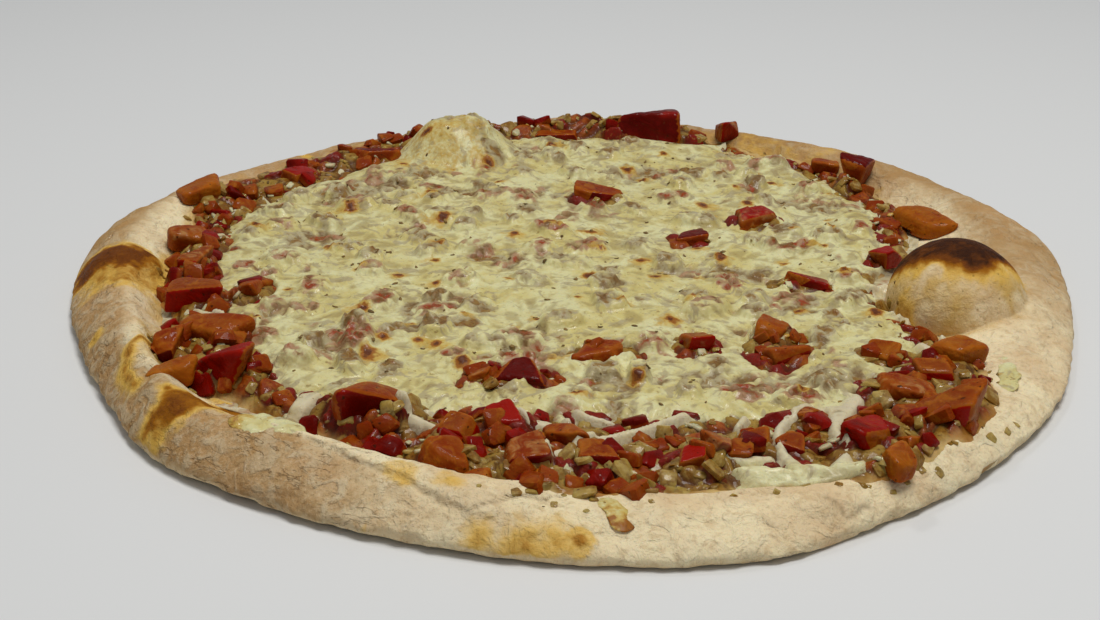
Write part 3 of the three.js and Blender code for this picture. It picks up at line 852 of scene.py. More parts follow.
def fold_toast(x, y):
    """The scorched outer face of the fold at the front left, and the pocket's scorched rim."""
    angle, radius = polar(x, y)
    outer = smooth((radius - sauce_radius(angle) + 1) / 2)
    face = outer * patch(x, y, (-92, -91, 21, 9, 30), 0.9, 0.4, 94)
    dark_end = smooth((-x - 84) / 18)
    ridge = bell(off_line(x, y, POCKET_RIDGE), 2.6 + 1.2 * rough(x, y, 6, 95))
    return np.maximum(face * (0.64 + 0.14 * dark_end), 0.6 * ridge)


# ---- Sauce ------------------------------------------------------------------------------------

SAUCE_CHUNKS = (6.2, 104)  # size of the chunks packed in the sauce, and their seed


def bedding(x, y):
    """How far the sauce has been pushed up round the dice."""
    swell = np.zeros(np.shape(x))
    for dice in TOMATOES:
        past = np.maximum(dice_reach(x, y, dice) - 1, 0) * min(dice[2], dice[3]) / 2
        swell = np.maximum(swell, 0.4 * dice[4] * bell(past, 2.8))
    return swell


def sauce_skin(x, y):
    """The wet, lumpy top of the sauce, which dips under the dough outside its outline."""
    inside = sauce_inside(x, y)
    covered = smooth((cheese_inside(x, y) - 1) / 5)
    stones, number = pebbles(x, y, *SAUCE_CHUNKS)
    chunks = 0.5 * rough(x, y, 6, 101) + stones * (0.5 + 1.5 * number) + 0.3 * rough(x, y, 2.4, 102)
    swell = chunks * smooth(inside / 4) + bedding(x, y) * smooth(inside / 8)
    lying = sauce_top(x, y) - 0.1 + swell * (1 - covered)
    ridge = 0.7 * smooth(inside / 3) * smooth((16 - inside) / 8) * smooth((-y - 40) / 30)
    lying += ridge - 1.2 * covered
    soft_edge = rounded(inside, 2.4)
    dough = dough_top(x, y)
    above = np.maximum(lying - dough, 0.2)
    return np.where(inside > 0, dough + above * soft_edge, dough - 1.2 * clamp(-inside / 1.2))


def sauce_material():
    """Wet pulp with chopped onion and tomato packed in it, each piece in its own tone, with shade
    painted into the gaps between them.
    """
    material, t, shader = new_material(
        "tomato and onion sauce", Subsurface_Weight=0.15, Subsurface_Scale=0.002,
        Subsurface_Radius=(1.0, 0.35, 0.12), Specular_IOR_Level=0.12, Coat_Roughness=0.06,
        Coat_IOR=1.4)
    wide, chunk, grain = t.noise(13, 3.0), t.noise(3.4, 4.0, distortion=0.8), t.noise(1.2, 4.0)
    number = t.mark("number")
    onion = t.mix(t.step(wide, 0.4, 0.62), seen(142, 112, 46), seen(116, 76, 18))
    onion = t.lay(onion, (seen(156, 128, 62), chunk, 0.5, 0.62, 0.5))
    flesh = t.mix(t.step(chunk, 0.4, 0.62), seen(122, 46, 4), seen(142, 72, 12))
    colour = t.mix(t.step(number, 0.4, 0.44), onion, flesh)
    colour = t.lay(
        colour,
        (seen(112, 18, 2), number, 0.72, 0.76, 1.0),
        (seen(164, 128, 62), grain, 0.6, 0.7, 0.35),
        (seen(70, 32, 4), grain, 0.44, 0.34, 0.6))
    # Painted shade: the gaps between the packed pieces are darkened.
    colour = t.tint(colour, seen(66, 26, 4), t.mark("gap"), 0.85)
    stain = t.mix(t.step(wide, 0.4, 0.6), seen(196, 166, 108), seen(160, 112, 44))
    colour = t.tint(colour, stain, t.mark("smear"), 0.85)
    t.wire(shader, Base_Color=colour, Roughness=t.step(chunk, 0.3, 0.7, 0.3, 0.5),
           Coat_Weight=t.step(wide, 0.3, 0.6, 0.1, 0.35),
           Normal=t.bump(chunk, 0.8, 0.6, t.bump(t.noise(1.4, 4.0), 0.4, 0.8)))
    return material


def build_sauce():
    """The sauce as one closed skin, coarse where the cheese hides it."""

    def hidden(angle):
        return cheese_mean(angle) - 4

    def outermost(angle):
        return sauce_radius(angle) + 7.5

    rows = 75
    rings = CENTRE + filled(hidden, 70, 108, 1.5)
    rings += band(hidden, outermost, [k / rows for k in range(1, rows + 1)], 1100)
    top = raised_to(sauce_skin, rings)
    below = discs(sauce_radius, [
        (1, 300), (0.94, 200), (0.88, 200), (0.82, 160), (0.76, 160), (0.7, 120),
        (0.64, 120), (0.58, 90), (0.5, 60),
    ]) + CENTRE
    points = np.concatenate([top, raised_to(lambda x, y: dough_top(x, y) - 0.9, below)])
    x, y = points[:, :2].T
    gap = np.maximum(cheese_inside(x, y), run_inside(x, y) + 0.5)
    on_top = (np.arange(len(x)) < len(top)) & (sauce_inside(x, y) > 1.5)
    stones, number = pebbles(x, y, *SAUCE_CHUNKS)
    is_open = on_top & (gap < -0.5)
    marks = {
        "open": is_open, "front": is_open * smooth((-y - 104) / 8),
        # The last mark is 1 in the gaps between chunks, where shade is painted.
        "fringe": on_top & (gap < 1) & (gap > -9), "number": number, "gap": 1 - stones,
        "smear": smooth((3.5 - sauce_inside(x, y)) / 3),
    }
    made = make_mesh("sauce", points, zipped(rings + below), marks)
    return finish_piece(made, sauce_material(), "sauce", "sauce")


# ---- Cheese -----------------------------------------------------------------------------------

SHRED_GRID = 0.5  # cell of the height map that the shreds are laid on
SHRED_REACH = 150  # half width of that map
SHREDS = 3600
COVERED_CHUNKS = (4.6, 121)  # size of the chunks that show through thin cheese, and their seed
BURIED = 120  # dice and onion that lie hidden under the cheese
BLISTERS = 70
BLISTER_GAP = 9  # least distance between two blisters
BURIED_GAP = 8.5  # least distance between two hidden pieces
# Blisters that stand out in the photo: place in plan and radius.
MAIN_BLISTERS = [
    (-5, -35, 2.2), (-10, -37, 1.4), (27, -38, 2.6), (5, -4, 2.0), (13, -28, 2.0), (-24, 80, 2.2),
    (-43, -52, 2.2), (-38, -54, 2.0), (-46, -42, 1.6), (-52, -2, 2.6), (-41, 45, 2.4), (-18, 30, 1.8),
    (6, 31, 2.6), (-60, -30, 2.6), (-56, -60, 2.4), (-30, -66, 2.2), (-75, 20, 2.0), (44, 60, 2.2),
    (78, 20, 2.2), (20, 95, 2.4), (-72, 55, 2.4), (64, -30, 1.8), (86, -30, 2.0), (0, -85, 1.8),
    (-28, 100, 2.6), (-50, 110, 3.0), (-36, 121, 2.2), (-58, 98, 2.0),
]
# Places where the cheese has run thin over what lies under it: oval in plan.
THIN_PLACES = [
    (-63, -50, 13, 9, 10), (-31, -27, 12, 7, 0), (46, -79, 14, 8, -10), (-70, 72, 16, 10, 20),
    (30, 92, 16, 7, 0), (-48, 90, 14, 8, 0), (62, -24, 12, 7, 0), (-20, 12, 13, 6, 10),
    (44, 0, 15, 6, -8), (78, 62, 12, 8, 0), (-84, 30, 10, 9, 0), (70, -78, 14, 7, -20),
    (10, -80, 12, 6, 0), (-14, -62, 12, 5, 5),
]


def shred_map():
    """Two maps over the plan: how high the half-melted shreds stand, and how white they are."""
    draw = np.random.default_rng(7)
    cells = int(2 * SHRED_REACH / SHRED_GRID)
    height, white = np.zeros((cells, cells)), np.zeros((cells, cells))
    for _ in range(SHREDS):
        radius = 138 * math.sqrt(draw.random())
        heading = draw.random() * TURN
        mx, my = radius * math.cos(heading), radius * math.sin(heading)
        length, width = draw.uniform(4, 14), 0.5 + 1.3 * draw.random() ** 2
        turn, bend = draw.random() * math.pi, draw.uniform(-0.09, 0.09)
        stand, tone = draw.uniform(0.25, 0.8), draw.random()
        reach = length / 2 + 3
        i0, j0 = (max(int((c - reach + SHRED_REACH) / SHRED_GRID), 0) for c in (mx, my))
        i1, j1 = (min(int((c + reach + SHRED_REACH) / SHRED_GRID), cells - 1) for c in (mx, my))
        if i1 <= i0 or j1 <= j0:
            continue
        gy, gx = np.mgrid[j0:j1, i0:i1] * SHRED_GRID - SHRED_REACH
        dx, dy = gx - mx, gy - my
        along = dx * math.cos(turn) + dy * math.sin(turn)
        across = dy * math.cos(turn) - dx * math.sin(turn) + bend * along**2
        past = np.maximum(np.abs(along) - length / 2, 0)
        off = np.hypot(across, past) / width
        ridge = stand * np.exp(-(off**2) * 1.1)
        area = (slice(j0, j1), slice(i0, i1))
        height[area] = np.maximum(height[area] * 0.93, ridge) + 0.25 * np.minimum(height[area], ridge)
        white[area] += (tone - white[area]) * bell(off) * 0.8
    return height, white


def sample(grid, x, y):
    """The value of a map at each place in plan."""
    u = np.clip((x + SHRED_REACH) / SHRED_GRID, 0, grid.shape[1] - 1.001)
    v = np.clip((y + SHRED_REACH) / SHRED_GRID, 0, grid.shape[0] - 1.001)
    i, j = np.floor(u).astype(int), np.floor(v).astype(int)
    s, t = u - i, v - j
    low = grid[j, i] * (1 - s) + grid[j, i + 1] * s
    high = grid[j + 1, i] * (1 - s) + grid[j + 1, i + 1] * s
    return low * (1 - t) + high * t


def drawn_place(draw, reach):
    """A random place within a circle about the middle."""
    angle, radius = draw.random() * TURN, reach * math.sqrt(draw.random())
    return radius * math.cos(angle), radius * math.sin(angle)


def blister_places():
    """The main blisters and others drawn at random, clear of each other and of the openings."""
    draw = np.random.default_rng(11)
    places = list(MAIN_BLISTERS)
    while len(places) < BLISTERS:
        x, y = drawn_place(draw, 120)
        clear = all(math.hypot(x - a, y - b) > BLISTER_GAP for a, b, _ in places)
        if clear and at(cheese_inside, x, y) > 4:
            places.append((x, y, draw.uniform(0.9, 2.3)))
    return places


def buried_lumps():
    """Dice and onion under the cheese: like a dice row, but the last value is how red it looks."""
    draw = np.random.default_rng(23)
    found = []
    while len(found) < BURIED:
        x, y = drawn_place(draw, 125)
        length, width = draw.uniform(6, 14), draw.uniform(5, 9)
        inside = at(cheese_inside, x, y)
        clear = all(math.hypot(x - row[0], y - row[1]) > BURIED_GAP for row in found)
        if inside > 4 and clear:
            found.append((x, y, length, width, draw.uniform(1.0, 3.2), draw.uniform(0, 180),
                          float(draw.random() > 0.55)))
    return found


def cheese_material():
    """Milky cheese that turns to a film where it is thin, over red or brown, with browned spots and
    shade painted into its crevices.
    """
    material, t, shader = new_material(
        "melted mozzarella", Subsurface_Weight=0.2, Subsurface_Scale=0.003, Coat_Roughness=0.12,
        Specular_IOR_Level=0.25, Subsurface_Radius=(1.0, 0.75, 0.4))
    broad, mid = t.noise(15, 3.0, distortion=0.7), t.noise(4.2, 4.0, distortion=0.8)
    fine = t.noise(1.2, 4.0)
    milk = t.mix(t.step(broad, 0.4, 0.62), seen(203, 198, 149), seen(194, 181, 116))
    milk = t.lay(
        milk,
        (seen(211, 208, 162), t.mark("white"), 0.45, 0.9, 0.8),
        (seen(172, 155, 96), mid, 0.5, 0.66, 0.5))
    grey = t.step(t.noise(7, 3.0, distortion=1.5), 0.53, 0.64)
    milk = t.tint(milk, seen(156, 143, 110), grey, 0.75)
    # Painted shade in the crevices between shreds and between the hidden pieces.
    milk = t.tint(milk, seen(136, 114, 62), t.mark("crevice_shade"), 0.5)
    milk = t.tint(milk, seen(196, 184, 158), t.mark("run"), 0.8)
    beneath = t.mix(t.mark("red"), seen(134, 104, 52), seen(140, 54, 18))
    beneath = t.lay(beneath, (seen(118, 74, 28), fine, 0.45, 0.65, 1.0))
    film = t.mix(t.mark("red"), seen(166, 154, 118), seen(160, 124, 92))
    film = t.lay(film, (seen(144, 124, 80), mid, 0.48, 0.6, 0.6))
    cover = t.uneven(t.mark("cover"), mid, 1.1)
    cover = t.uneven(cover, fine, 0.4)
    colour = t.mix(t.step(cover, 0.0, 0.3), beneath, film)
    colour = t.lay(colour, (milk, cover, 0.35, 0.8, 1.0))
    # Painted shade: darker grooves along the crevices where the cheese is thin.
    edge = t.times(t.mark("crevice_shade"), t.step(mid, 0.4, 0.56))
    edge = t.times(edge, t.step(cover, 0.3, 0.85, 1.0, 0.0))
    colour = t.tint(colour, seen(98, 66, 22), edge, 0.8)
    flecks = t.times(t.step(t.noise(1.7, 2.0), 0.64, 0.7), t.step(broad, 0.38, 0.55))
    colour = t.tint(colour, seen(126, 94, 38), flecks, 0.6)
    colour = t.lay(colour, (seen(138, 118, 62), fine, 0.58, 0.74, 0.3))
    brown = t.uneven(t.mark("brown"), fine, 0.6)
    brown = t.uneven(brown, mid, 0.3)
    colour = t.lay(
        colour,
        (seen(182, 146, 56), brown, 0.12, 0.45, 0.8),
        (seen(140, 84, 14), brown, 0.4, 0.65, 1.0),
        (seen(88, 40, 4), brown, 0.7, 0.9, 1.0))
    normal = t.bump(t.step(edge, 0.0, 1.0, 1.0, 0.0), 0.3, 0.7, t.bump(fine, 0.25, 0.8))
    t.wire(shader, Base_Color=colour, Roughness=t.step(mid, 0.3, 0.7, 0.25, 0.55),
           Coat_Weight=t.step(broad, 0.35, 0.65, 0.0, 0.25), Normal=t.bump(mid, 0.8, 0.6, normal))
    return material


def thin_places(x, y, inside):
    """How thin the cheese has run, how red it is beneath, and how far hidden pieces raise it."""
    thin, lifted = np.zeros((2, len(x)))
    red = (pebbles(x, y, *COVERED_CHUNKS)[1] > 0.74).astype(float)
    for oval in THIN_PLACES:
        thin = np.maximum(thin, 0.75 * patch(x, y, oval, 1.0, 1.0, 111))
    ragged = rough(x, y, 4, 115)
    for row in buried_lumps():
        reach = dice_reach(x, y, row)
        on = smooth((1.3 - reach) / 0.5)
        lifted = np.maximum(lifted, row[4] * on)
        thin = np.maximum(thin, smooth((1.15 - reach) / 0.5) * (0.75 + 0.6 * ragged))
        red = np.where(reach < 1.4, row[6], red)
    thin = np.maximum(thin, smooth((rough(x, y, 16, 112) - 0.1) / 0.5) * (0.6 + 0.5 * ragged))
    thin = np.maximum(thin, 0.95 * smooth((3 - inside) / 4.5))
    return thin, red, lifted


def draped(x, y, z, on_sheet):
    """Cheese that lies against the dice runs up onto them, most where the sheet holds them in."""
    for dice in TOMATOES:
        angle, radius = polar(*np.array(dice[:2], float))
        at_edge = radius > cheese_radius(angle) - 6
        ramp = 0.2 if at_edge else 0.5
        on = smooth((1 + ramp - dice_reach(x, y, dice)) / ramp)
        if at_edge:
            on = on * (1 - on_sheet)
        top = at(surface, *dice[:2]) + 0.86 * dice[4]
        z = np.maximum(z, z * (1 - on) + (top + 0.2) * on)
    return z


# Cheese that has run out over the toppings: a line of points in plan and the widths along it.
RUNS = [
    ([(38, -84), (32, -92), (25, -99), (16, -106), (6, -111), (-2, -116), (-8, -121)],
     (9, 5, 3.4, 3.0, 3.8, 3.2, 5)),
    ([(62, -86), (55, -97), (50, -106), (49, -116), (52, -124), (58, -128)], (12, 5, 2.8, 3.2, 4.4, 5)),
    ([(68, -88), (66, -98), (64, -106), (65, -116), (63, -123), (58, -129)], (12, 6, 3.4, 3.4, 5, 5)),
    ([(44, -88), (43, -96), (40, -103)], (6, 3, 2)),
    ([(-60, -74), (-67, -84), (-71, -94)], (12, 8, 5)),
    ([(-45, -96), (-40, -101), (-35, -105)], (3, 4.4, 3)),
    ([(-24, -92), (-16, -99), (-7, -104)], (4, 3, 5)),
    ([(-2, -92), (2, -98), (9, -101)], (4, 3, 2)),
    ([(46, -121), (41, -122), (36, -121)], (3, 5, 2)),
    ([(37, -126), (44, -129), (52, -129)], (2, 8, 5)),
    ([(55, -126), (61, -129), (68, -123)], (7, 9, 3)),
    ([(-98, -40), (-104, -34), (-108, -30)], (6, 4, 2)),
    ([(90, -52), (97, -57), (101, -60)], (6, 4, 2)),
]


def run_inside(x, y):
    """How far a point lies inside the cheese that has run out over the toppings."""
    best = np.full(len(x), -50.0)
    steps = 60
    for line, widths in RUNS:
        path = smooth_line(line, steps)
        half = np.interp(np.linspace(0, 1, steps), np.linspace(0, 1, len(widths)), widths) / 2
        near = off_line(x, y, path[::10]) < 16
        away = np.hypot(x[near, None] - path[:, 0], y[near, None] - path[:, 1]) - half
        best[near] = np.maximum(best[near], -away.min(1))
    ragged = 0.3 + 1.6 * smooth((-y - 122) / 4)
    return best + ragged * rough(x, y, 4.5, 117)


def build_cheese(material):
    """The cheese sheet and what has run out from it, dipping under the sauce past its outline."""
    height, white = shred_map()

    def sheet_reach(angle):
        return cheese_mean(angle) + 6.5

    def run_reach(angle):
        return np.maximum(sauce_radius(angle) + 3, cheese_mean(angle) + 7)

    rows = 45
    rings = CENTRE + filled(sheet_reach, 148, 145, 1.0)
    rings += band(sheet_reach, run_reach, [k / rows for k in range(1, rows + 1)], 1200)
    plan = np.concatenate(rings)
    x, y = plan.T
    shreds = sample(height, x, y)
    sheet = cheese_inside(x, y)
    runs = np.maximum(run_inside(x, y), 3.4 * (shreds - 0.5) + 0.14 * np.minimum(sheet, 0))
    inside = np.maximum(sheet + 3.5 * (shreds - 0.2), runs)
    thin, red, lifted = thin_places(x, y, inside)
    cover = clamp(1 - thin + 1.1 * (shreds - 0.15) * (thin > 0.05))
    melted = smooth((rough(x, y, 26, 116) + 0.35 + 0.006 * (y + 60)) / 0.6)
    stones, number = pebbles(x, y, *COVERED_CHUNKS)
    relief = (1.2 * shreds - 0.4) * (1 - 0.3 * thin) * (1 - 0.6 * melted) + lifted
    relief = relief + clamp(thin) * (stones * (0.4 + 1.4 * number) - 0.6 + 0.3 * rough(x, y, 1.9, 120))
    brown = np.zeros(len(x))
    for bx, by, size in blister_places():
        lean = 0.7 * math.sin(37 * bx + by)
        off = np.hypot(x - bx, (y - by) * (1.3 + lean)) * (1 + 0.7 * rough(x, y, 3, 113)) / size
        aside = np.hypot(x - bx - 1.2 * size * math.cos(bx), y - by - 0.9 * size * lean) / size
        smear = 0.42 * bell(aside * (1 + 0.6 * rough(x, y, 4, 114)), 1.5)
        brown = np.maximum(brown, np.maximum(np.exp(-(off**2) * 1.1), smear))
        relief = relief + 0.5 * np.exp(-(off**2) * 0.9) - 0.35 * np.exp(-(off**2) * 5)
    brown = np.maximum(brown, 0.3 * patch(x, y, (-47, 106, 17, 13, 0), 1.0, 0.8, 122))
    sauce = sauce_top(x, y)
    on_sheet = smooth((sheet + 3) / 4)
    on_sauce = smooth(sauce_inside(x, y) / 4)
    bed = sauce + 1.3 * (1 - on_sheet) * on_sauce
    film = cheese_top(x, y) - sauce - 0.7 * thin
    film = film * on_sheet + (0.5 + 1.5 * on_sauce + 0.5 * rough(x, y, 4, 119)) * (1 - on_sheet)
    level = draped(x, y, bed + film, on_sheet) + relief * (0.1 + 0.9 * on_sheet)
    soft = rounded(inside, 1.3)
    melt = soft * on_sheet + np.sqrt(clamp(inside / 1.5)) * (1 - on_sheet)
    z = np.where(inside > 0, bed + (level - bed) * melt, sauce - 2.2 * clamp(-inside / 1.2))
    top = np.column_stack([plan, z])
    below = [rings[-1][::4] * (1 - k / 16) ** 0.8 for k in range(16)] + CENTRE
    under = raised_to(lambda x, y: sauce_top(x, y) - 2.8, below)
    points = np.concatenate([top, under])
    # Painted shade: where the crevices lie, between the shreds and between the pieces under thin
    # cheese.
    crevice_shade = np.maximum(smooth((0.14 - shreds) / 0.14), clamp(1.3 * thin) * (1 - stones))
    crevice_shade = crevice_shade * smooth((inside - 1) / 3)
    tips = 0.5 * (1 - on_sheet) * clamp(rough(x, y, 5, 118))
    on_rim = smooth((-y - 121) / 4)
    marks = {
        "cover": clamp(cover + 0.5 * (1 - on_sheet)), "red": red, "brown": brown, "crevice_shade": crevice_shade,
        "white": np.maximum(sample(white, x, y), 0.9 * (1 - on_sheet) * on_rim),
        "run": (1 - on_sheet) * (1 - tips) * (1 - 0.8 * on_rim), "herbs": smooth((inside - 1) / 3),
    }
    marks = {name: np.concatenate([values, np.zeros(len(under))]) for name, values in marks.items()}
    made = make_mesh("cheese", points, zipped(rings + below), marks)
    return finish_piece(made, material, "cheese", "cheese")


# ---- Tomato -----------------------------------------------------------------------------------


def emptied(built):
    """The points and faces of a bmesh, which is then freed."""
    built.verts.index_update()
    points = np.array([v.co for v in built.verts])
    faces = np.array([[v.index for v in f.verts] for f in built.faces])
    built.free()
    return points, faces


def round_ball(subdivisions):
    """Directions spread evenly over a sphere, with the triangles between them."""
    shell = bmesh.new()
    bmesh.ops.create_icosphere(shell, subdivisions=subdivisions, radius=1)
    return emptied(shell)


BALL = round_ball(5)
SMALL_BALL = round_ball(3)
CRISP = {"skin": (6, 11), "flesh": (4, 6.5)}  # how sharp the edges of the dice are
TOP, UNDERSIDE = 4, 5  # the faces of a dice after its four sides


def diced(ball, length, width, height, seed, crisp=CRISP["skin"]):
    """A hand-cut dice: a ball pressed flat by seven planes, and how hard each of them presses."""
    draw = np.random.default_rng(seed)
    planes = []
    for k in range(4):
        yaw = math.radians(k * 90 + draw.uniform(-20, 20))
        tilt = math.radians(draw.uniform(-20, 12))
        planes.append((yaw, tilt, (length, width)[k % 2] / 2 * draw.uniform(0.84, 1.02)))
    lean = math.radians(draw.uniform(66, 88))
    planes.append((draw.uniform(0, TURN), lean, height / 2 * draw.uniform(0.9, 1.05)))
    planes.append((0, -TURN / 4, height / 2))
    planes.append((draw.uniform(0, TURN), math.radians(draw.uniform(15, 50)),
                   min(length, width) / 2 * draw.uniform(0.85, 1.2)))
    normals = [(math.cos(yaw) * math.cos(tilt), math.sin(yaw) * math.cos(tilt), math.sin(tilt))
               for yaw, tilt, _ in planes]
    reaches = np.array([reach for _, _, reach in planes])
    sharp = draw.uniform(*crisp)
    press = np.maximum(ball[0] @ np.array(normals).T, 0) / reaches
    points = ball[0] * ((press**sharp).sum(1) ** (-1 / sharp))[:, None]
    x, y, z = points.T
    size = min(length, width)
    wobble = 0.07 * rough(x + 40, y + 0.7 * z, 0.55 * size, seed)
    wobble += 0.03 * rough(x + 2 * z, y - z, 0.14 * size, seed + 1)
    return points * (1 + wobble)[:, None], press


def tomato_material(name, tint):
    """Tomato with red skin where it is marked, orange flesh elsewhere, and some film of cheese."""
    material, t, shader = new_material(
        name, Subsurface_Weight=0.3, Subsurface_Scale=0.003, Coat_Roughness=0.05, Coat_IOR=1.35,
        Specular_IOR_Level=0.05, Subsurface_Radius=(1.0, 0.3, 0.05))
    wide, mid, fine = t.noise(8, 2.0), t.noise(5, 3.0, distortion=1.0), t.noise(0.9, 3.0)
    tone = t.plus(wide, t.mark("tone"))
    red = t.mix(t.step(tone, 0.3, 0.8), seen(84, 6, 0), seen(136, 13, 0))
    flesh = t.mix(t.step(tone, 0.2, 0.8), seen(118, 38, 0), tint)
    flesh = t.lay(
        flesh,
        (seen(154, 90, 18), mid, 0.5, 0.68, 0.6),
        (seen(112, 30, 0), mid, 0.48, 0.32, 0.6),
        (seen(176, 116, 44), fine, 0.6, 0.72, 0.25))
    flesh = t.tint(flesh, seen(172, 98, 20), t.mark("rim"), 0.3)
    skin = t.step(t.uneven(t.mark("skin"), mid, 0.8), 0.35, 0.65)
    colour = t.mix(skin, flesh, red)
    film = t.uneven(t.mark("film"), mid, 2.0)
    colour = t.lay(
        colour,
        (seen(172, 142, 96), film, 0.5, 1.1, 0.45),
        (seen(50, 20, 4), t.noise(1.6, 1.0), 0.7, 0.76, 0.8))
    t.wire(shader, Base_Color=colour, Roughness=t.step(skin, 0.0, 1.0, 0.45, 0.35),
           Coat_Weight=t.step(wide, 0.35, 0.7, 0.1, 0.35),
           Normal=t.bump(mid, 0.9, 0.7, t.bump(fine, 0.15, 0.8)))
    return material


def skin_mark(press, sides):
    """1 on the faces of a dice that carry skin, from how hard each plane presses."""
    others = [k for k in range(press.shape[1]) if k not in sides]
    lead = press[:, sides].max(1) - press[:, others].max(1)
    steepness = 14
    return clamp(0.5 + lead / press.max(1) * steepness)


def build_tomatoes():
    """Each dice in its place, settled into what lies under it, with skin on one or two faces."""
    materials = {
        "skin": tomato_material("tomato skin", seen(120, 52, 4)),
        "flesh": tomato_material("tomato flesh", seen(138, 72, 6)),
    }
    for k, (cx, cy, length, width, height, turn, side) in enumerate(TOMATOES):
        draw = np.random.default_rng(300 + k)
        dice, press = diced(BALL, length, width, height, 400 + k, CRISP[side])
        heading = math.radians(turn)
        front = int(np.argmin([math.sin(heading + n * TURN / 4) for n in range(4)]))
        choices = [[UNDERSIDE], [(front + 2) % 4]]
        if side == "skin":
            choices = [[front], [front, TOP], [TOP], [front, (front + 1) % 4]]
        skin = skin_mark(press, choices[draw.integers(len(choices))])
        x, y = set_down(dice, cx, cy, heading)
        bed = at(surface, cx, cy) + 0.40 * height
        floor = surface(x, y) - 0.5 + 0.3 * (dice[:, 2] + height / 2)
        z = np.maximum(bed + dice[:, 2], floor)
        milky = draw.uniform(-1.1, 0.75) * smooth((dice[:, 2] / height + 0.1) / 0.4)
        first, second = np.sort(press, 1)[:, :-3:-1].T
        marks = {"skin": skin, "tone": np.full(len(x), draw.uniform(-0.3, 0.3)), "film": milky,
                 "rim": smooth(1 - 2.2 * (1 - second / first))}
        name = f"tomato_{k + 1:02d}"
        made = make_mesh(name + "_dice", np.column_stack([x, y, z]), BALL[1], marks)
        finish_piece(made, materials[side], "tomato_" + side, name)


# ---- Scraps of cheese on the rim -------------------------------------------------------------


def strand_mesh(line, widths, height, seed):
    """A soft flattened strand along a line of points, wider and narrower along its way."""
    rows, sides = 110, 32
    path = smooth_line(line, rows)
    along = np.gradient(path, axis=0)
    along /= np.linalg.norm(along, axis=1)[:, None]
    side = np.column_stack([along[:, 1], -along[:, 0], np.zeros(rows)])
    side /= np.linalg.norm(side, axis=1)[:, None]
    up = np.cross(side, along)
    share = np.linspace(0, 1, rows)
    width = np.interp(share, np.linspace(0, 1, len(widths)), widths) / 2
    full = np.sqrt(np.clip(1 - (2 * share - 1) ** 8, 0.0, 1))
    rings = [path[:1]]
    for k in range(1, rows - 1):
        turn = np.arange(sides) / sides * TURN
        length = np.linalg.norm(path[-1] - path[0])
        wave = 1 + 0.25 * lumps(turn * 1.3 + 5, turn * 0 + share[k] * length / 3, 1, seed)
        wave += 0.12 * lumps(turn * 2.5 + 9, turn * 0 + share[k] * length / 1.4, 1, seed + 40)
        out = np.cos(turn) * width[k] * full[k] * wave
        lift = np.sin(turn) * height / 2 * full[k] * wave
        rings.append(path[k] + out[:, None] * side[k] + lift[:, None] * up[k])
    rings.append(path[-1:])
    return np.concatenate(rings), zipped(rings)


def laid(line, sunk):
    """A line of points in plan laid on the surface."""
    return [(x, y, at(surface, x, y) + sunk) for x, y in line]


SCRAPS = [
    ("cheese_scrap_front_left", [(-86, -106), (-78, -108), (-72, -110), (-66, -114)],
     (5, 11, 8, 4), 2.4),
    ("cheese_strip_front", [(3, -134), (7, -142), (11, -150)], (3.4, 5.4, 5.5), 1.1),
    ("cheese_strip_right", [(116, -60), (115, -70), (112, -81)], (4, 5.5, 4.5), 1.0),
]


def build_scraps(material):
    """The three scraps of cheese that lie on the rim."""
    for k, (node, line, widths, height) in enumerate(SCRAPS):
        points, faces = strand_mesh(laid(line, -0.1), widths, height, 131 + k)
        x, y = points[:, 0], points[:, 1]
        near_end = smooth((7 - np.hypot(x - line[-1][0] - 2, y - line[-1][1])) / 5)
        spots = smooth((rough(x, y, 3.5, 138 + k) - 0.1) / 0.4)
        brown = (0.35 * spots + 0.5 * smooth((-80 - x) / 4),
                 0.3 + 0.3 * spots + 0.4 * near_end,
                 0.12 + 0.15 * spots)[k]
        tone = {"white": 0 * x + (0.5, 0.1, 0.6)[k], "brown": brown, "cover": 0 * x + 1.1, "red": 0 * x}
        made = make_mesh(node + "_baked", points, faces, tone)
        finish_piece(made, material, "cheese", node)


# ---- Small things that lie scattered ------------------------------------------------------------

LEAN = 0.35  # how far a scattered piece may lean out of its surface, in radians
# Scattered pieces: the mark that allows them, how many lie on a square metre where it is 1,
# the smallest and largest size in millimetres, and the seed.
SCATTERED = {
    "onion_slices": ("open", 11000, 4.0, 8.0, 3),
    "tomato_bits": ("open", 13000, 4.0, 9.0, 5),
    "onion_crumbs": ("open", 24000, 1.8, 3.8, 6),
    "onion_front": ("front", 20000, 3.5, 7.5, 21),
    "onion_spilled": ("spill", 38000, 1.4, 4.2, 8),
    "herbs_on_sauce": ("open", 16000, 0.7, 1.8, 7),
    "herbs_on_dough": ("spill", 7000, 0.7, 1.6, 19),
    "herbs_on_cheese": ("herbs", 4000, 0.8, 2.4, 9),
    "tomato_seeds": ("open", 2500, 1.0, 1.4, 13),
    "cheese_crumbs": ("fringe", 10000, 1.5, 4.6, 17),
}


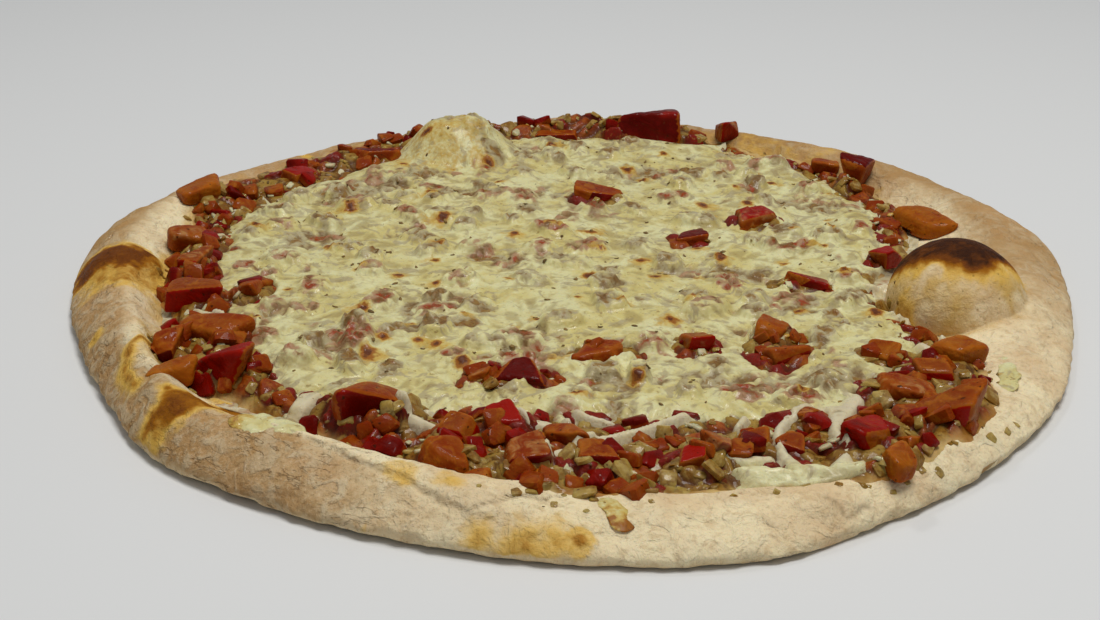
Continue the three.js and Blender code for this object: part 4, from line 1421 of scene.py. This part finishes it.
def scatter_tree(name):
    """Geometry nodes that set pieces of a collection on a surface where its mark allows."""
    tree = bpy.data.node_groups.new(name, "GeometryNodeTree")
    for label, kind in (("Surface", "Geometry"), ("Per Square Metre", "Float"),
                        ("Smallest", "Float"), ("Largest", "Float"), ("Seed", "Int"),
                        ("Mark", "String"), ("Pieces", "Collection"), ("Finish", "Material")):
        tree.interface.new_socket(label, in_out="INPUT", socket_type="NodeSocket" + kind)
    tree.interface.new_socket("Geometry", in_out="OUTPUT", socket_type="NodeSocketGeometry")
    t = Tree(tree)
    given = t.add("NodeGroupInput").outputs
    allowed = t.add("GeometryNodeInputNamedAttribute", {"data_type": "FLOAT"}, Name=given["Mark"])
    density = t.times(allowed.outputs["Attribute"], given["Per Square Metre"])
    points = t.add("GeometryNodeDistributePointsOnFaces", Mesh=given["Surface"],
                   Seed=given["Seed"], Density=density)
    size = t.add("FunctionNodeRandomValue", {"data_type": "FLOAT"}, Seed=given["Seed"])
    t.feed(size.inputs[2], given["Smallest"])
    t.feed(size.inputs[3], given["Largest"])
    turn = t.add("FunctionNodeRandomValue", {"data_type": "FLOAT_VECTOR"},
                 Seed=t.plus(given["Seed"], 1))
    turn.inputs[0].default_value = (-LEAN, -LEAN, 0)
    turn.inputs[1].default_value = (LEAN, LEAN, TURN)
    facing = t.add("FunctionNodeRotateRotation", {"rotation_space": "LOCAL"},
                   Rotation=points.outputs["Rotation"], Rotate_By=turn.outputs[0])
    pieces = t.add("GeometryNodeCollectionInfo", {"transform_space": "ORIGINAL"},
                   Collection=given["Pieces"], Separate_Children=True, Reset_Children=True)
    placed = t.add("GeometryNodeInstanceOnPoints", Points=points.outputs["Points"],
                   Instance=pieces.outputs[0], Pick_Instance=True,
                   Rotation=facing.outputs[0], Scale=size.outputs[1])
    real = t.add("GeometryNodeRealizeInstances", Geometry=placed.outputs[0])
    done = t.add("GeometryNodeSetMaterial", Geometry=real.outputs[0], Material=given["Finish"])
    t.feed(t.add("NodeGroupOutput").inputs[0], done.outputs[0])
    return tree


def scatter(tree, name, base, kinds, material, slot, crisp=False):
    """One joined mesh of small things spread over a piece."""
    mark, per_square_metre, smallest, largest, seed = SCATTERED[name]
    shelf = bpy.data.collections.new(name + " kinds")
    for k, (points, faces, *marks) in enumerate(kinds):
        kind = make_mesh(f"{name}_kind_{k}", points, faces, *marks)
        bpy.context.scene.collection.objects.unlink(kind)
        shelf.objects.link(kind)
    carrier = add_object(name + "_carrier", base.data.copy())
    modifier = carrier.modifiers.new("scatter", "NODES")
    modifier.node_group = tree
    values = {
        "Per Square Metre": float(per_square_metre), "Smallest": smallest, "Largest": largest,
        "Seed": seed, "Mark": mark, "Pieces": shelf, "Finish": material,
    }
    for item in tree.interface.items_tree:
        if item.name in values and item.in_out == "INPUT":
            modifier[item.identifier] = values[item.name]
    bpy.context.view_layer.update()
    graph = bpy.context.evaluated_depsgraph_get()
    mesh = bpy.data.meshes.new_from_object(carrier.evaluated_get(graph))
    bpy.data.objects.remove(carrier)
    for kind in list(shelf.objects):
        bpy.data.objects.remove(kind)
    bpy.data.collections.remove(shelf)
    mesh.name = name
    if crisp:
        mesh.set_sharp_from_angle(angle=math.radians(38))
    return finish_piece(add_object(name, mesh), material, slot)


def flake(seed, length, width, thick):
    """A thin curled fleck of dried leaf."""
    draw = np.random.default_rng(seed)
    count = 7
    turn = np.arange(count) / count * TURN
    reach = draw.uniform(0.7, 1.1, count)
    x, y = np.cos(turn) * reach * length / 2, np.sin(turn) * reach * width / 2
    curl = draw.uniform(-0.25, 0.25, count) * width + 0.5 * thick
    top = np.column_stack([x, y, curl + thick / 2])
    under = np.column_stack([x * 0.9, y * 0.9, curl - thick / 2])
    middles = [np.array([[0, 0, level]]) for level in (0.4 * thick + 0.1 * width, -0.6 * thick)]
    rings = [middles[0], top, under, middles[1]]
    return np.concatenate(rings), zipped(rings)


def chip(seed, width, height, bend=0.0):
    """A small hand-cut block with chamfered edges, a millimetre long."""
    draw = np.random.default_rng(seed)
    block = bmesh.new()
    for corner in range(8):
        signs = np.array([(corner >> axis & 1) * 2 - 1 for axis in range(3)])
        spot = signs * draw.uniform(0.6, 1.0, 3) * [0.5, width / 2, height / 2]
        for axis in range(3):
            block.verts.new(spot * [1 if axis == other else 0.74 for other in range(3)])
    hull = bmesh.ops.convex_hull(block, input=block.verts[:])
    spare = set(hull["geom_interior"] + hull["geom_unused"])
    spare = [item for item in spare if isinstance(item, bmesh.types.BMVert)]
    bmesh.ops.delete(block, geom=spare, context="VERTS")
    bmesh.ops.recalc_face_normals(block, faces=block.faces[:])
    points, faces = emptied(block)
    points[:, 2] -= bend * points[:, 0] ** 2
    return points, faces


def plain_material(name, first, second, roughness, size=1.5, subsurface=0.0):
    """A material for small things, which differ in tone from one to the next."""
    material, t, shader = new_material(
        name, Roughness=roughness, Subsurface_Weight=subsurface, Subsurface_Scale=0.003)
    colour = t.mix(t.step(t.noise(size * 4, 1.0), 0.35, 0.65), first, second)
    colour = t.lay(colour, (seen(60, 44, 20), t.noise(size / 3, 3.0), 0.4, 0.7, 0.35))
    t.wire(shader, Base_Color=colour, Normal=t.bump(t.noise(size / 2, 3.0), 0.15, 0.6))
    return material


def onion_material():
    """Soft onion in oil, from pale to brown, with lighter patches laid at random as painted highlights.
    """
    material, t, shader = new_material(
        "stewed onion", Roughness=0.35, Subsurface_Weight=0.35, Subsurface_Scale=0.004,
        Subsurface_Radius=(1.0, 0.7, 0.3), Coat_Weight=0.3, Coat_Roughness=0.05,
        Specular_IOR_Level=0.12)
    colour = t.mix(t.step(t.noise(8, 2.0), 0.38, 0.62), seen(152, 126, 62), seen(122, 86, 26))
    colour = t.lay(
        colour,
        # Painted highlights: lighter patches laid at random.
        (seen(176, 154, 94), t.noise(2.6, 3.0), 0.45, 0.65, 0.5),
        (seen(104, 66, 18), t.noise(3.4, 3.0), 0.5, 0.36, 0.6),
        (seen(64, 38, 8), t.noise(1.4, 1.0), 0.68, 0.76, 0.8))
    t.wire(shader, Base_Color=colour, Normal=t.bump(t.noise(2.0, 3.0), 0.6, 0.7))
    return material


def onion_places():
    """Where the sauce's large onion pieces lie: the same seeded draws as in the solid."""
    places, draws = [], 0
    while len(places) < ONION_BITS and draws < 20000:
        numbers = [float(lattice(draws + k, 77, 5)) for k in range(4)]
        draws += 4
        angle, radius = numbers[0] * TURN, 60 + 80 * numbers[1]
        length, turn = 4.5 + 2.5 * numbers[2], 180 * numbers[3]
        x, y = radius * math.cos(angle), radius * math.sin(angle)
        spot = np.array(angle)
        is_open = float(cheese_radius(spot)) + 4 < radius < float(sauce_radius(spot)) - 4
        others = [(a, b, 5) for a, b, _, _ in places] + [(t[0], t[1], t[2]) for t in TOMATOES]
        if is_open and all(math.hypot(a - x, b - y) > (length + size) / 2 for a, b, size in others):
            places.append((x, y, length, turn))
    return places


def build_onions(material):
    """The large onion pieces in the sauce, as one mesh."""
    parts = []
    for k, (cx, cy, length, turn) in enumerate(onion_places()):
        bit = diced(SMALL_BALL, length, 0.7 * length, 2.6, 500 + k)[0]
        x, y = set_down(bit, cx, cy, math.radians(turn))
        arch = -2 * (bit[:, 0] / length) ** 2
        z = at(sauce_top, cx, cy) + 0.2 + bit[:, 2] + arch
        parts.append((np.column_stack([x, y, z]), SMALL_BALL[1]))
    points, faces = joined(parts)
    finish_piece(make_mesh("onion_pieces", points, faces), material, "sauce")


def build_small_things(crust, sauce, cheese):
    """Onion, tomato, herbs, seeds and crumbs, which are scattered by their marks."""
    tree = scatter_tree("scatter")
    onion = onion_material()
    build_onions(onion)
    oval = round_ball(2)
    slices = [chip(600 + k, 0.75, 0.3, 0.3) for k in range(8)]
    bits = []
    for k in range(10):
        points, faces = chip(620 + k, 0.8, 0.6)
        bits.append((points, faces, {"skin": smooth((points[:, 2] + 0.1) / 0.2) * (k % 3 == 0)}))
    pulp = tomato_material("tomato pulp", seen(130, 60, 6))
    scatter(tree, "onion_slices", sauce, slices, onion, "sauce", crisp=True)
    scatter(tree, "tomato_bits", sauce, bits, pulp, "sauce", crisp=True)
    scatter(tree, "onion_crumbs", sauce, slices, onion, "sauce", crisp=True)
    scatter(tree, "onion_front", sauce, slices, onion, "sauce", crisp=True)
    scatter(tree, "onion_spilled", crust, slices, onion, "sauce", crisp=True)
    flecks = [flake(700 + k, 1, 0.55, 0.12) for k in range(5)]
    herb = plain_material("dried herbs", seen(96, 72, 30), seen(134, 106, 54), 0.8)
    scatter(tree, "herbs_on_sauce", sauce, flecks, herb, "sauce")
    scatter(tree, "herbs_on_dough", crust, flecks, herb, "crust")
    scatter(tree, "herbs_on_cheese", cheese, flecks, herb, "cheese")
    seed_shape = [(oval[0] * [0.9, 0.6, 0.28] * (1 - 0.25 * oval[0][:, :1]), oval[1])]
    seeds = plain_material("tomato seeds", seen(190, 150, 62), seen(176, 120, 34), 0.3, 1.5, 0.2)
    scatter(tree, "tomato_seeds", sauce, seed_shape, seeds, "sauce")
    milk = plain_material("cheese crumbs", seen(196, 188, 148), seen(180, 168, 128), 0.45, 2.0, 0.2)
    scatter(tree, "cheese_crumbs", sauce, slices, milk, "cheese")


# ---- The object -------------------------------------------------------------------------------

crust = build_crust()
sauce = build_sauce()
mozzarella = cheese_material()
cheese = build_cheese(mozzarella)
build_scraps(mozzarella)
build_tomatoes()
build_small_things(crust, sauce, cheese)

# ---- Table, light and camera ------------------------------------------------------------------


def build_table():
    half = 4.0
    table = bpy.data.meshes.new("table")
    corners = [(-half, -half, 0), (half, -half, 0), (half, half, 0), (-half, half, 0)]
    table.from_pydata(corners, [], [(0, 1, 2, 3)])
    stage = add_object("table", table)
    material, t, shader = new_material("pale table", Roughness=0.55)
    greys = (0.765, 0.775, 0.77, 1), (0.78, 0.785, 0.78, 1)
    t.wire(shader, Base_Color=t.mix(t.noise(300, 2.0), *greys))
    table.materials.append(material)


def build_room_light():
    world = bpy.data.worlds.new("soft room")
    bpy.context.scene.world = world
    world.use_nodes = True
    background = world.node_tree.nodes["Background"]
    background.inputs["Color"].default_value = (0.95, 0.97, 1.0, 1)
    background.inputs["Strength"].default_value = 0.24


def build_lamp(name, across, power, colour, place, tilt):
    """A round lamp. Its tilt is in degrees about X and Y, and its sizes are in metres."""
    lamp = bpy.data.lights.new(name, "AREA")
    lamp.shape, lamp.size, lamp.energy, lamp.color = "DISK", across, power, colour
    made = add_object(name, lamp)
    made.location = place
    made.rotation_euler = (*map(math.radians, tilt), 0)


def build_camera():
    """The photo's view: 23 degrees above the table, 549 mm from just left of the middle."""
    elevation, distance, aim = math.radians(23), 549 * MM, (-6.7 * MM, -6 * MM)
    view = bpy.data.cameras.new("camera")
    view.lens, view.sensor_width = 60, 36
    camera = add_object("camera", view)
    away, up = distance * math.cos(elevation), distance * math.sin(elevation)
    camera.location = (aim[0], aim[1] - away, up)
    camera.rotation_euler = (math.pi / 2 - elevation, 0, 0)
    bpy.context.scene.camera = camera


build_table()
build_room_light()
build_lamp("overhead", 0.5, 8.7, (1.0, 0.985, 0.96), (0.2, -0.1, 1.2), (5, 10))
build_lamp("ceiling", 0.12, 0.9, (1, 1, 1), (-0.25, 0.35, 0.9), (-21, -15))
build_camera()
bpy.context.scene.view_settings.view_transform = "Standard"
